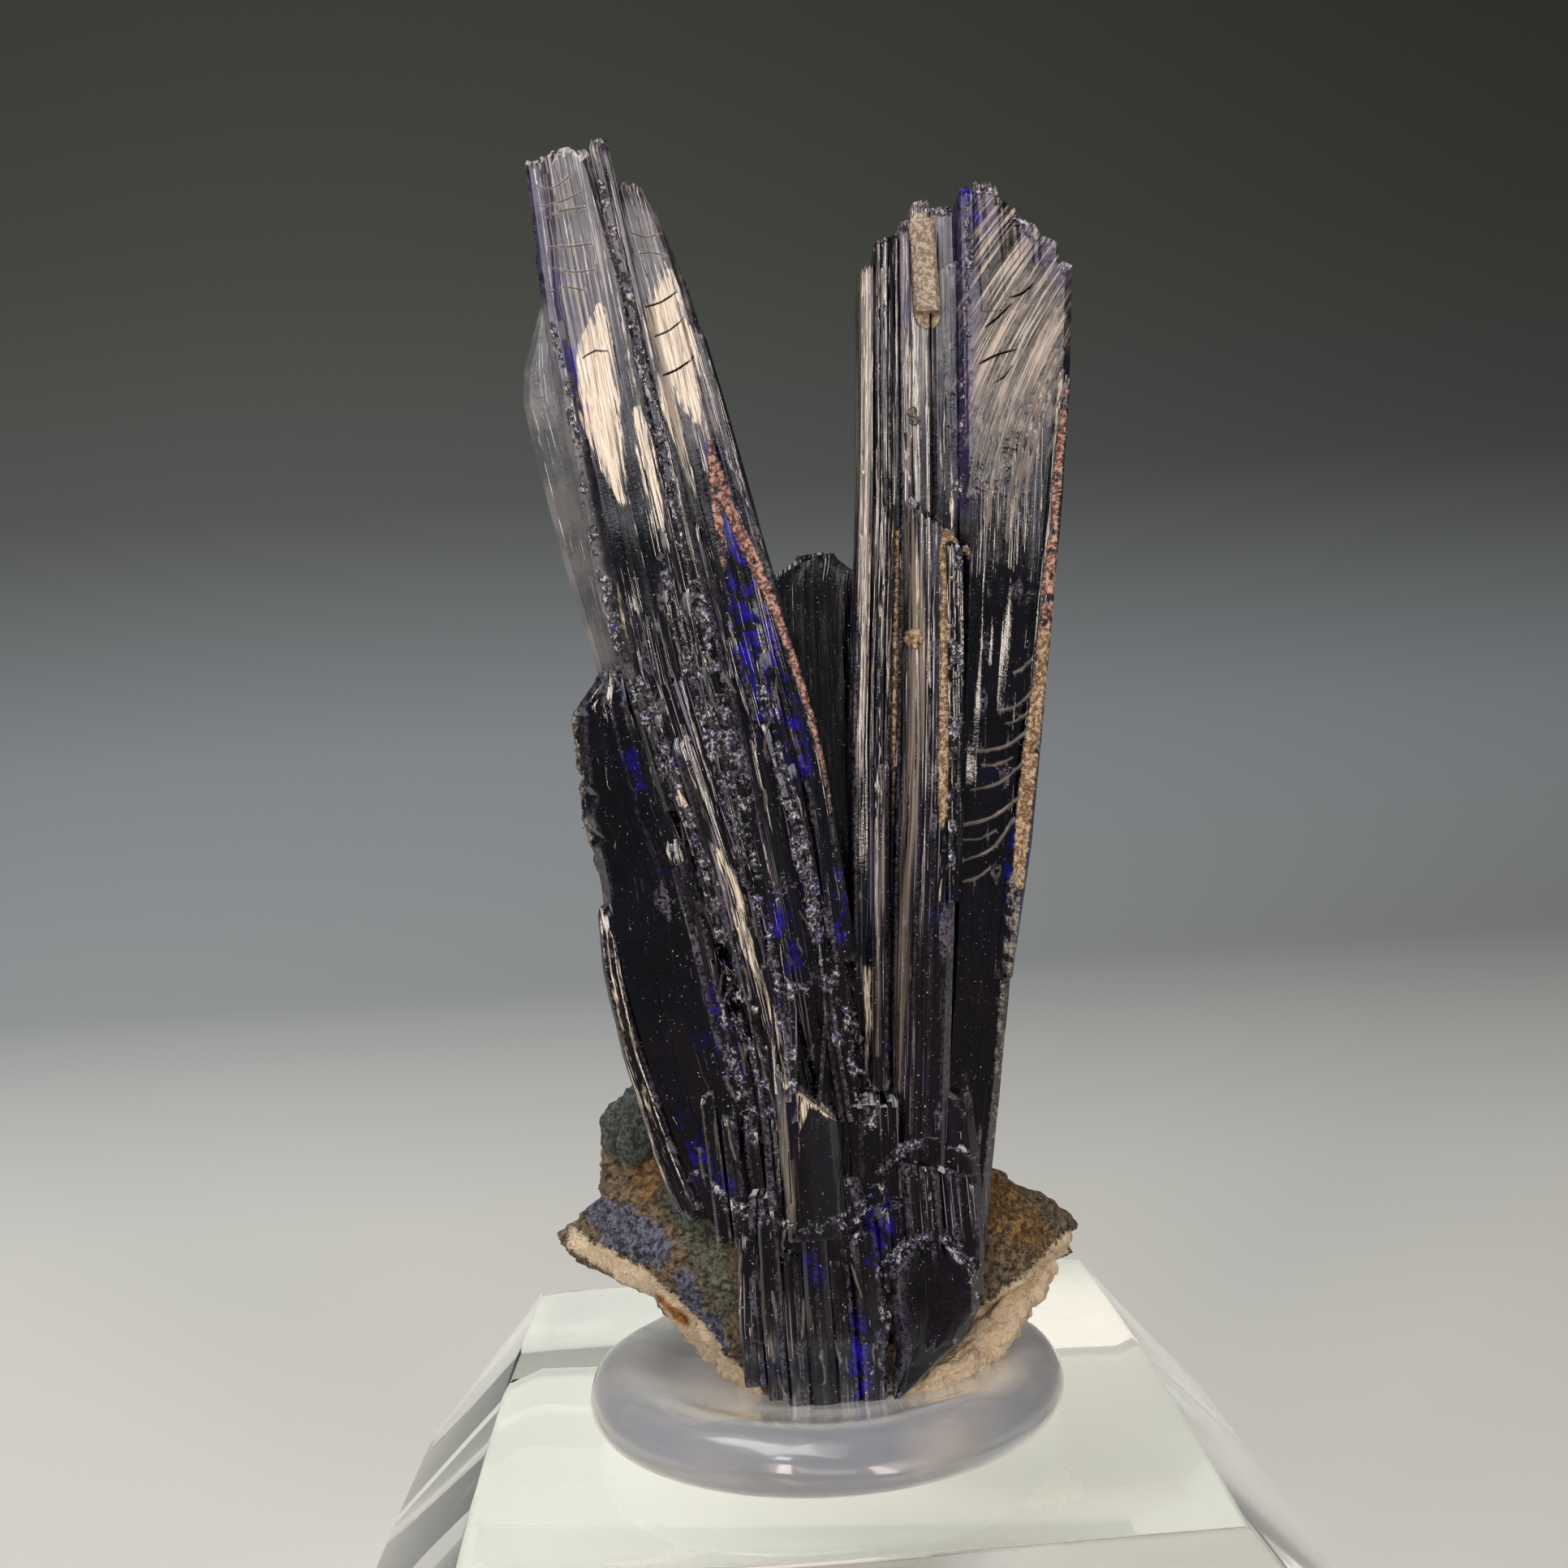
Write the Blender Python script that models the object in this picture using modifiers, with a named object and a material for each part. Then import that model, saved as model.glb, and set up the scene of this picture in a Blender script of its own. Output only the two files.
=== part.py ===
"""Azurite crystal cluster on an acrylic display block.

Four pieces, each a closed solid: the grown-together azurite, the rock it grew on,
the clear putty disc round its foot and the faceted clear block under it.
The frame's origin is the middle of the block's underside. +Z is up and the
specimen's display side looks along -Y.
"""
import math

import bmesh
import bpy
from mathutils import Matrix, Vector, noise

MM = 0.001
COLLECTION = "azurite_cluster"
CUTTERS = "cutters"

# Clearance left between neighbouring pieces.
GAP = 0.3

# Acrylic block, in mm.
BLOCK_HALF = 19.0
# The top face is off centre: half its width and depth, and the y of its middle.
BLOCK_TOP_HALF = (13.0, 15.6)
BLOCK_TOP_MIDDLE = 1.9
BLOCK_HEIGHT = 18.0
BLOCK_SHOULDER = 10.7
BLOCK_CHAMFER = 0.5
BLOCK_BOW = 0.25
BLOCK_SIDE_STEPS = 8

# Putty disc, in mm.
TACK_CENTRE = (-0.1, -0.6)
TACK_STEPS = 56
# The disc is longer from front to back than from side to side by this factor.
TACK_STRETCH = 1.1
TACK_PROFILE = (
    (0.0, 19.6),
    (4.6, 19.7),
    (5.8, 19.95),
    (6.7, 20.35),
    (7.6, 20.6),
    (8.4, 20.45),
    (9.05, 20.0),
    (9.3, 19.3),
    (9.1, 18.65),
    (8.5, 18.3),
    (0.0, 18.3),
)

# Rock: how far it reaches left, right, front and back of its own axis at each height, in mm.
ROCK_AXIS = (0.0, 0.6)
ROCK_POINTS = 44
ROCK_NOISE = 0.32
ROCK_LEVELS = (
    (18.95, 2.4, 2.2, 4.2, 1.4),
    (19.5, 3.8, 3.2, 4.8, 2.4),
    (20.4, 4.9, 4.9, 5.0, 3.2),
    (21.5, 5.8, 6.9, 4.9, 3.8),
    (22.6, 6.7, 8.9, 4.7, 4.2),
    (23.5, 8.2, 10.0, 4.5, 4.4),
    (24.4, 9.9, 10.0, 4.3, 4.5),
    (25.2, 10.4, 9.4, 4.2, 4.5),
    (26.0, 9.7, 8.2, 4.0, 4.3),
    (26.9, 8.8, 6.9, 3.7, 4.0),
    (27.9, 8.3, 5.6, 2.6, 3.5),
    (28.9, 7.9, 4.0, 1.9, 2.9),
)
# The grey-green lump that stands up at the left end of the rock: centre and radii, in mm.
KNOB_CENTRE = (-6.6, 0.9, 28.6)
KNOB_RADII = (1.75, 1.7, 2.5)

# Each crystal: name, front y at the tip and at the foot, back y, how much the top rises
# to the right, how tall its bevelled tip is, and its outline as (z, left x, right x)
# from the tip down. All in mm.
CRYSTALS = (
    # Left spray.
    ("left_step", -2.9, -3.0, -1.1, 0.1, 0.15,
     ((66.3, -8.6, -7.7), (60.5, -8.25, -7.0), (50.0, -6.9, -5.6), (42.0, -5.0, -3.6))),
    ("left_shoulder", -2.3, -2.5, -0.8, 0.3, 0.2,
     ((63.1, -8.5, -7.8), (60.0, -8.3, -7.4), (52.0, -7.3, -6.3))),
    ("left_main", -3.2, -3.5, -0.5, 0.15, 0.25,
     ((66.4, -8.0, -6.15), (61.0, -7.85, -4.9), (55.0, -7.1, -4.0), (47.3, -6.1, -2.7),
      (42.2, -4.6, -1.7), (39.4, -3.6, -1.0), (34.8, -2.9, -0.3), (31.6, -1.9, 0.2),
      (27.0, -0.8, 1.0))),
    ("left_ridge", -3.75, -3.9, -2.2, 0.0, 0.35,
     ((66.4, -6.15, -5.4), (59.0, -5.0, -4.2), (53.0, -4.0, -3.2), (45.0, -2.7, -1.8),
      (36.0, -1.4, -0.5))),
    ("left_second", -2.9, -3.2, 0.3, -0.25, 0.3,
     ((65.0, -5.3, -4.15), (61.3, -5.1, -2.8), (57.0, -4.6, -1.8), (52.2, -3.9, -0.75),
      (48.0, -3.3, 0.2), (44.6, -2.7, 0.95), (42.0, -2.3, 1.3), (38.0, -1.6, 1.7),
      (34.0, -1.0, 1.9), (28.0, 0.0, 2.0))),
    ("left_margin", -3.15, -3.5, -1.6, -0.3, 0.2,
     ((60.0, -3.2, -2.4), (57.0, -2.6, -1.7), (52.2, -1.6, -0.65), (48.0, -0.7, 0.3),
      (44.6, 0.0, 1.05), (41.0, 0.4, 1.5), (36.0, 0.9, 1.95))),
    ("left_rib_upper", -3.6, -3.9, -2.4, 0.2, 0.3,
     ((50.0, -3.9, -3.2), (44.0, -3.0, -2.2), (38.0, -1.9, -1.1), (31.0, -0.9, -0.1))),
    ("left_rib_right", -3.4, -3.7, -2.2, 0.2, 0.3,
     ((47.5, -1.2, -0.5), (42.0, -0.5, 0.2), (36.0, 0.2, 0.9), (30.0, 0.8, 1.5))),
    ("left_rib_lower", -3.5, -3.95, -2.3, 0.2, 0.3,
     ((44.5, -4.6, -3.7), (39.0, -3.2, -2.3), (33.0, -2.1, -1.2), (28.0, -1.1, -0.2))),
    ("glassy_left", -0.9, -0.7, 0.9, 0.0, 0.3,
     ((61.8, -8.4, -7.7), (59.0, -9.35, -7.0), (57.8, -9.45, -6.8), (55.7, -9.1, -6.3),
      (52.0, -8.4, -5.6), (48.2, -7.5, -5.0), (43.0, -6.4, -4.0))),
    # Broad dark blade low on the left, with its ragged outer edge.
    ("lower_left", -2.7, -3.3, 0.2, 0.2, 0.3,
     ((47.1, -7.3, -6.0), (46.4, -8.05, -5.8), (42.1, -8.0, -4.5), (39.5, -7.55, -3.4),
      (34.8, -7.3, -2.8), (31.6, -6.75, -1.8), (29.0, -6.05, -1.2), (26.6, -5.3, -0.6))),
    ("lower_left_chip", -2.3, -2.6, -0.9, 0.4, 0.2,
     ((45.9, -8.3, -7.6), (42.0, -8.15, -7.3), (39.6, -7.65, -6.8))),
    ("lower_left_side", -3.0, -3.5, -1.0, 0.3, 0.2,
     ((38.4, -7.75, -7.0), (36.0, -7.65, -6.8), (33.0, -7.15, -6.2), (29.0, -6.15, -5.1),
      (27.0, -5.5, -4.4))),
    ("inset_prism", -3.3, -3.6, -2.0, 0.0, 0.35,
     ((40.6, -5.0, -4.25), (37.5, -4.4, -3.6), (33.0, -3.6, -2.9))),
    ("stub_left", -3.7, -3.9, -2.0, 0.2, 0.2,
     ((31.2, -4.3, -3.65), (25.8, -4.0, -3.3))),
    ("stub_middle", -3.85, -4.05, -2.0, -0.2, 0.2,
     ((30.3, -3.55, -2.9), (25.6, -3.3, -2.6))),
    ("stub_right", -3.65, -3.85, -2.0, 0.2, 0.2,
     ((29.8, -2.8, -2.1), (25.7, -2.6, -1.8))),
    # The dark blade behind the V.
    ("back_blade", 1.3, 1.0, 3.0, 0.1, 0.25,
     ((51.35, 0.6, 2.4), (51.1, 0.0, 2.9), (50.3, -0.8, 3.4), (44.0, -1.1, 3.5), (34.0, -0.8, 3.2),
      (26.0, 0.0, 3.0))),
    # Right bundle, left to right.
    ("right_a", -1.8, -2.4, 0.6, 0.1, 0.2,
     ((61.9, 3.6, 4.25), (53.7, 3.05, 3.75), (44.5, 2.25, 3.0), (35.0, 1.7, 2.5), (28.0, 1.5, 2.4))),
    ("right_b", -2.2, -2.6, 0.2, 0.1, 0.2,
     ((62.75, 4.2, 4.75), (53.0, 3.6, 4.2), (44.5, 2.85, 3.5), (35.0, 2.2, 3.0), (28.0, 2.0, 3.0))),
    ("right_c", -1.9, -2.3, 0.8, -0.1, 0.2,
     ((62.9, 4.7, 5.2), (53.0, 4.1, 4.7), (44.0, 3.4, 4.0), (34.0, 2.7, 3.4), (28.0, 2.4, 3.2))),
    ("right_d", -2.1, -2.5, 0.9, 0.1, 0.2,
     ((63.4, 5.15, 5.6), (53.0, 4.6, 5.15), (44.0, 3.9, 4.5), (34.0, 3.1, 3.8), (28.0, 2.9, 3.6))),
    ("right_e", -2.0, -2.45, 1.2, 0.15, 0.2,
     ((64.1, 5.6, 6.4), (53.0, 5.05, 5.9), (44.0, 4.4, 5.2), (34.0, 3.6, 4.5), (28.0, 3.2, 4.1))),
    ("right_plate", -2.5, -2.45, -1.5, 0.1, 0.12,
     ((63.4, 5.5, 6.5), (60.1, 5.6, 6.55))),
    ("right_f_back", -1.2, -1.3, 1.4, 0.1, 0.15,
     ((64.1, 6.3, 7.5), (58.0, 6.1, 7.3))),
    ("right_f", -2.0, -2.35, 0.5, 0.2, 0.15,
     ((61.8, 6.3, 7.4), (53.0, 5.85, 7.0), (44.0, 5.1, 6.3), (34.0, 4.4, 5.6), (27.0, 3.8, 5.0))),
    ("right_g", -2.15, -2.3, -0.3, 0.1, 0.25,
     ((64.45, 7.45, 8.1), (56.0, 7.15, 7.7), (50.0, 6.9, 7.4))),
    ("right_apex", -2.3, -2.35, 1.1, -0.3, 0.3,
     ((64.55, 8.0, 9.0), (60.0, 7.9, 9.2))),
    ("right_tooth_a", -2.1, -2.2, 1.3, -0.5, 0.2,
     ((63.9, 8.9, 9.7), (59.5, 8.6, 9.9))),
    ("right_tooth_b", -2.2, -2.25, 1.2, -0.45, 0.2,
     ((63.1, 9.6, 10.5), (59.0, 9.3, 10.5))),
    ("right_tooth_c", -2.05, -2.15, 1.4, -0.3, 0.15,
     ((62.5, 10.4, 11.2), (58.5, 10.1, 11.0))),
    ("right_broad", -2.25, -2.9, 1.6, -0.3, 0.25,
     ((61.75, 7.3, 11.7), (57.9, 7.1, 11.4), (51.8, 6.8, 10.65), (47.5, 6.5, 10.0),
      (45.7, 6.3, 9.7), (41.0, 5.9, 9.0), (34.9, 5.3, 7.8), (30.2, 4.7, 7.1),
      (27.5, 4.2, 6.65), (24.3, 3.8, 6.2))),
    ("right_front", -3.2, -3.6, -1.5, -1.6, 0.2,
     ((52.2, 4.8, 6.7), (44.5, 4.3, 6.25), (41.0, 4.0, 6.05), (35.0, 3.45, 5.5), (28.0, 2.9, 4.9))),
    ("right_front_rib", -3.45, -3.7, -2.3, -0.3, 0.15,
     ((51.2, 6.1, 6.75), (44.0, 5.75, 6.4), (38.0, 5.4, 5.95))),
    ("right_low_rib", -2.85, -3.3, -1.5, 0.2, 0.25,
     ((43.0, 2.9, 3.6), (38.0, 2.6, 3.3), (31.0, 2.2, 2.9))),
    ("right_margin", -2.55, -2.95, -1.2, -0.2, 0.2,
     ((57.5, 10.75, 11.3), (51.8, 9.9, 10.6), (45.7, 8.85, 9.7), (40.0, 7.95, 8.85), (34.9, 7.1, 7.8))),
    # Ribs on the rear face.
    ("rear_left", -0.8, -0.8, 0.75, 0.3, 0.25,
     ((56.0, -6.0, -4.2), (48.0, -4.9, -3.0), (40.0, -3.2, -1.4), (30.0, -1.6, 0.4))),
    ("rear_right", 0.4, 0.4, 2.1, -0.4, 0.25,
     ((55.0, 7.9, 9.6), (46.0, 7.0, 8.6), (37.0, 5.9, 7.4), (27.5, 4.4, 6.0))),
    ("rear_right_thin", 0.4, 0.4, 1.8, 0.2, 0.2,
     ((59.5, 5.4, 6.2), (48.0, 4.7, 5.5), (36.0, 3.8, 4.7), (28.0, 3.3, 4.4))),
    # Foot.
    ("root", -3.3, -3.6, 2.4, 0.0, 0.4,
     ((30.6, -3.0, 6.0), (27.0, -3.4, 6.2), (24.0, -3.3, 6.0), (22.0, -3.0, 5.4), (20.6, -2.4, 4.0))),
    ("short_prism", -4.35, -4.45, -2.0, -1.9, 0.12,
     ((31.1, -1.45, 0.8), (25.8, -1.55, 0.95))),
    ("foot_block", -3.95, -4.3, -1.6, 0.3, 0.15,
     ((27.3, 1.3, 6.0), (25.0, 1.2, 6.1), (23.6, 1.6, 5.9))),
    ("foot_shield", -4.5, -4.6, -1.4, 0.0, 0.3,
     ((25.2, 2.8, 5.2), (24.6, 2.3, 5.8), (22.4, 2.4, 5.5), (20.6, 2.2, 4.0))),
    ("foot_front", -4.3, -4.45, -1.2, 0.2, 0.2,
     ((26.4, -2.8, 2.4), (24.0, -3.1, 2.5), (20.7, -3.3, 2.6), (19.6, -1.4, 2.3), (19.0, 0.3, 2.0))),
)

# Corner cut of a crystal's cross-section: a share of its smaller side, up to a largest value in mm.
CORNER_SHARE = 0.16
CORNER_MAX = 0.35
# How far the bevelled tip draws in, as a share of the crystal's width.
TIP_INSET = 0.14
# Smallest step between the offsets of two crystals, in mm.
NUDGE = 0.006


def clear_scene():
    """Remove every object of the start-up scene."""
    for item in list(bpy.data.objects):
        bpy.data.objects.remove(item, do_unlink=True)


def new_collection(name):
    """Make a collection in the scene and return it."""
    group = bpy.data.collections.new(name)
    bpy.context.scene.collection.children.link(group)
    return group


def material(name, colour, roughness, metallic=0.0):
    """Make a plain Principled material."""
    made = bpy.data.materials.new(name)
    made.use_nodes = True
    shader = made.node_tree.nodes["Principled BSDF"]
    shader.inputs["Base Color"].default_value = (*colour, 1.0)
    shader.inputs["Roughness"].default_value = roughness
    shader.inputs["Metallic"].default_value = metallic
    made.diffuse_color = (*colour, 1.0)
    return made


def add_object(name, bm, group):
    """Turn a bmesh in mm into an object in metres."""
    bmesh.ops.recalc_face_normals(bm, faces=bm.faces)
    bmesh.ops.scale(bm, vec=(MM, MM, MM), verts=bm.verts)
    mesh = bpy.data.meshes.new(name)
    bm.to_mesh(mesh)
    bm.free()
    item = bpy.data.objects.new(name, mesh)
    group.objects.link(item)
    return item


def loft(rings):
    """Skin a list of equal rings of points and close both ends."""
    bm = bmesh.new()
    rows = [[bm.verts.new(point) for point in ring] for ring in rings]
    count = len(rows[0])
    for upper, lower in zip(rows, rows[1:]):
        for i in range(count):
            j = (i + 1) % count
            bm.faces.new((upper[i], upper[j], lower[j], lower[i]))
    bm.faces.new(rows[0])
    bm.faces.new(list(reversed(rows[-1])))
    return bm


def crystal_ring(left, right, front, back, cut, heights):
    """Eight corners of a tabular crystal's section; heights gives z for each (x, y)."""
    flat = (
        (left + cut, front),
        (right - cut, front),
        (right, front + cut),
        (right, back - cut),
        (right - cut, back),
        (left + cut, back),
        (left, back - cut),
        (left, front + cut),
    )
    return [(x, y, heights(x, y)) for x, y in flat]


def crystal(index, row, group, grow=0.0):
    """Build one crystal from its row; grow swells it on every side for a cutter."""
    name, front_tip, front_foot, back, rise, tip, outline = row
    z_top = outline[0][0]
    z_foot = outline[-1][0]
    rings = []
    for index, (z, left, right) in enumerate(outline):
        share = (z_top - z) / (z_top - z_foot)
        front = front_tip + (front_foot - front_tip) * share - grow
        left -= grow
        right += grow
        rear = back + grow
        cut = min(CORNER_SHARE * min(right - left, rear - front), CORNER_MAX)
        if index == 0:
            middle = 0.5 * (left + right)
            width = right - left
            lift = grow

            def slanted(x, y):
                return z + lift + rise * (x - middle) / width

            inset = TIP_INSET * min(width, rear - front)
            rings.append(crystal_ring(left + inset, right - inset, front + inset, rear - inset,
                                      cut * 0.7, lambda x, y: slanted(x, y) + tip))
            rings.append(crystal_ring(left, right, front, rear, cut, slanted))
        else:
            level = z - grow if index == len(outline) - 1 else z
            rings.append(crystal_ring(left, right, front, rear, cut, lambda x, y: level))
    body = loft(rings)
    # A hair's offset of its own keeps two crystals from sharing a plane or an edge.
    nudge = (NUDGE * ((index * 5) % 11 - 5), NUDGE * ((index * 3) % 7 - 3), NUDGE * ((index * 4) % 9 - 4))
    bmesh.ops.translate(body, vec=nudge, verts=body.verts)
    return add_object(name, body, group)


def boolean(target, other, operation):
    """Apply one exact Boolean and leave the other object alone."""
    step = target.modifiers.new(operation.lower(), "BOOLEAN")
    step.operation = operation
    step.solver = "EXACT"
    step.object = other
    bpy.context.view_layer.objects.active = target
    bpy.ops.object.modifier_apply(modifier=step.name)


def fuse(items, name):
    """Union a list of objects into the first and drop the rest."""
    body = items[0]
    for other in items[1:]:
        boolean(body, other, "UNION")
        bpy.data.objects.remove(other, do_unlink=True)
    body.name = name
    body.data.name = name
    return body


def tidy_mesh(item):
    """Merge stray near-double points, drop slivers and keep the largest closed body."""
    bm = bmesh.new()
    bm.from_mesh(item.data)
    bmesh.ops.remove_doubles(bm, verts=bm.verts, dist=0.000001)
    bmesh.ops.dissolve_degenerate(bm, edges=bm.edges, dist=0.000001)
    bmesh.ops.triangulate(bm, faces=bm.faces)
    seen = set()
    bodies = []
    for start in bm.verts:
        if start in seen:
            continue
        stack = [start]
        body = set()
        while stack:
            vert = stack.pop()
            if vert in body:
                continue
            body.add(vert)
            stack.extend(edge.other_vert(vert) for edge in vert.link_edges)
        seen |= body
        bodies.append(body)
    keep = max(bodies, key=len)
    bmesh.ops.delete(bm, geom=[vert for vert in bm.verts if vert not in keep], context="VERTS")
    bmesh.ops.recalc_face_normals(bm, faces=bm.faces)
    bm.to_mesh(item.data)
    bm.free()
    return len(bodies)


def build_azurite(group):
    """All crystals fused into one solid."""
    items = [crystal(index, row, group) for index, row in enumerate(CRYSTALS)]
    body = fuse(items, "azurite_crystals")
    tidy_mesh(body)
    body.data.materials.append(material("azurite", (0.02, 0.02, 0.12), 0.15))
    return body


def azurite_cutter(group, below):
    """The crystals that reach under a height, each grown by the gap."""
    items = [
        crystal(index, (row[0] + "_cut",) + row[1:], group, GAP)
        for index, row in enumerate(CRYSTALS) if row[6][-1][0] < below
    ]
    return fuse(items, "azurite_clearance")


def rock_rings(grow):
    """Rings of the rock's outline, roughened by fixed lattice noise."""
    rings = []
    axis_x, axis_y = ROCK_AXIS
    last = len(ROCK_LEVELS) - 1
    for index, (z, left, right, front, back) in enumerate(ROCK_LEVELS):
        ring = []
        for step in range(ROCK_POINTS):
            angle = 2.0 * math.pi * step / ROCK_POINTS
            c = math.cos(angle)
            s = math.sin(angle)
            reach_x = right if c > 0.0 else left
            reach_y = back if s > 0.0 else front
            radius = 1.0 / math.sqrt((c / reach_x) ** 2 + (s / reach_y) ** 2)
            where = Vector((c * 6.0, s * 6.0, z)) * 0.55
            rough = noise.noise(where) * 1.6 + noise.noise(where * 2.7) * 0.9
            radius += ROCK_NOISE * rough + grow
            lift = 0.35 * noise.noise(where * 1.3 + Vector((9.0, 4.0, 2.0)))
            height = z + (lift if 0 < index < last else 0.0)
            if index == 0:
                height -= grow
            if index == last:
                height += grow
            ring.append((axis_x + radius * c, axis_y + radius * s, height))
        rings.append(ring)
    return rings


def build_rock(name, group, grow=0.0):
    """The rock as a rough loft with a knob at its left end."""
    body = add_object(name, loft(rock_rings(grow)), group)
    bm = bmesh.new()
    bmesh.ops.create_icosphere(bm, subdivisions=3, radius=1.0)
    for vert in bm.verts:
        swell = 1.0 + 0.16 * noise.noise(vert.co * 1.9) + 0.1 * noise.noise(vert.co * 4.5)
        vert.co = Vector([
            KNOB_CENTRE[i] + vert.co[i] * (KNOB_RADII[i] + grow) * swell for i in range(3)
        ])
    knob = add_object(name + "_knob", bm, group)
    return fuse([body, knob], name)


def build_tack(group):
    """The putty disc, turned from its profile."""
    mesh = bpy.data.meshes.new("mineral_tack")
    points = [(radius * MM, 0.0, z * MM) for radius, z in TACK_PROFILE]
    mesh.from_pydata(points, [(i, i + 1) for i in range(len(points) - 1)], [])
    item = bpy.data.objects.new("mineral_tack", mesh)
    group.objects.link(item)
    turn = item.modifiers.new("turn", "SCREW")
    turn.steps = TACK_STEPS
    turn.render_steps = TACK_STEPS
    turn.use_merge_vertices = True
    turn.merge_threshold = 0.00001
    turn.use_normal_calculate = True
    bpy.context.view_layer.objects.active = item
    bpy.ops.object.modifier_apply(modifier=turn.name)
    item.data.transform(Matrix.Diagonal((1.0, TACK_STRETCH, 1.0, 1.0)))
    item.data.transform(Matrix.Translation((TACK_CENTRE[0] * MM, TACK_CENTRE[1] * MM, 0.0)))
    return item


def block_ring(half_x, half_y, middle, z, bow):
    """A four-sided ring whose sides swell outward a little in the middle."""
    ring = []
    corners = ((-1.0, -1.0), (1.0, -1.0), (1.0, 1.0), (-1.0, 1.0))
    for side in range(4):
        start = corners[side]
        end = corners[(side + 1) % 4]
        out = (0.5 * (start[0] + end[0]), 0.5 * (start[1] + end[1]))
        for step in range(BLOCK_SIDE_STEPS):
            share = step / BLOCK_SIDE_STEPS
            swell = bow * 4.0 * share * (1.0 - share)
            x = half_x * (start[0] + (end[0] - start[0]) * share) + out[0] * swell
            y = middle + half_y * (start[1] + (end[1] - start[1]) * share) + out[1] * swell
            ring.append((x, y, z))
    return ring


def build_block(group):
    """The clear block: straight below its shoulder, four flaring facets up to the top."""
    foot = BLOCK_HALF - BLOCK_CHAMFER
    rings = [
        block_ring(*BLOCK_TOP_HALF, BLOCK_TOP_MIDDLE, BLOCK_HEIGHT, BLOCK_BOW),
        block_ring(BLOCK_HALF, BLOCK_HALF, 0.0, BLOCK_SHOULDER, BLOCK_BOW),
        block_ring(BLOCK_HALF, BLOCK_HALF, 0.0, BLOCK_CHAMFER, BLOCK_BOW),
        block_ring(foot, foot, 0.0, 0.0, BLOCK_BOW),
    ]
    body = add_object("acrylic_base", loft(rings), group)
    body.data.materials.append(material("clear acrylic", (0.92, 0.93, 0.95), 0.05))
    return body


def main():
    """Build the four pieces."""
    clear_scene()
    parts = new_collection(COLLECTION)
    cutters = new_collection(CUTTERS)
    build_azurite(parts)
    build_block(parts)
    around_azurite = azurite_cutter(cutters, 32.0)
    rock = build_rock("matrix", parts)
    boolean(rock, around_azurite, "DIFFERENCE")
    tidy_mesh(rock)
    rock.data.materials.append(material("iron-stained rock", (0.22, 0.14, 0.07), 0.9))
    tack = build_tack(parts)
    around_rock = build_rock("rock_clearance", cutters, GAP)
    boolean(tack, around_rock, "DIFFERENCE")
    boolean(tack, around_azurite, "DIFFERENCE")
    tidy_mesh(tack)
    tack.data.materials.append(material("clear putty", (0.78, 0.77, 0.83), 0.25))
    for item in cutters.objects:
        item.hide_render = True
        item.display_type = "WIRE"


main()
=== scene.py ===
"""Azurite crystal cluster on a clear display block, dressed for rendering.

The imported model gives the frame. This script builds the visible crystals, rock, putty
and block inside it, with their materials, and the pale stage, lights and camera.
Tables are in millimetres; properties and meshes are in metres.
"""
import math
import random
from functools import partial, reduce

import bmesh
import bpy
import numpy as np
from bpy.props import FloatProperty, FloatVectorProperty, IntProperty, PointerProperty
from mathutils import Matrix, Vector, noise
from mathutils.bvhtree import BVHTree


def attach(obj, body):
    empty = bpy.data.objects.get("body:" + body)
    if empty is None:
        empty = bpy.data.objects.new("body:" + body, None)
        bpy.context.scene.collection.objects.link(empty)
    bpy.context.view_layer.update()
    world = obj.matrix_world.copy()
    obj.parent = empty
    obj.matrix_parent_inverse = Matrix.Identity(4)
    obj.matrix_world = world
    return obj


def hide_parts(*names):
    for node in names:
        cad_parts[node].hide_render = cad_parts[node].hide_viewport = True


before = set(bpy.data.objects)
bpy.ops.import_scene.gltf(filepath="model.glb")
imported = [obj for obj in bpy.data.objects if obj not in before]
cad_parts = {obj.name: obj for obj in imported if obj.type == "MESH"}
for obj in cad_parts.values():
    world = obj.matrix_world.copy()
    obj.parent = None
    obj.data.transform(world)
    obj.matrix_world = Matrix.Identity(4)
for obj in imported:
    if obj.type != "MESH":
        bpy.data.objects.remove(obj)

bl_info = {
    "name": "Azurite Cluster",
    "version": (1, 0, 0),
    "blender": (4, 5, 0),
    "location": "View3D > Sidebar > Azurite",
    "description": "Builds an azurite crystal cluster on a clear display block",
    "category": "Add Mesh",
}

MM = 0.001

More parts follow.
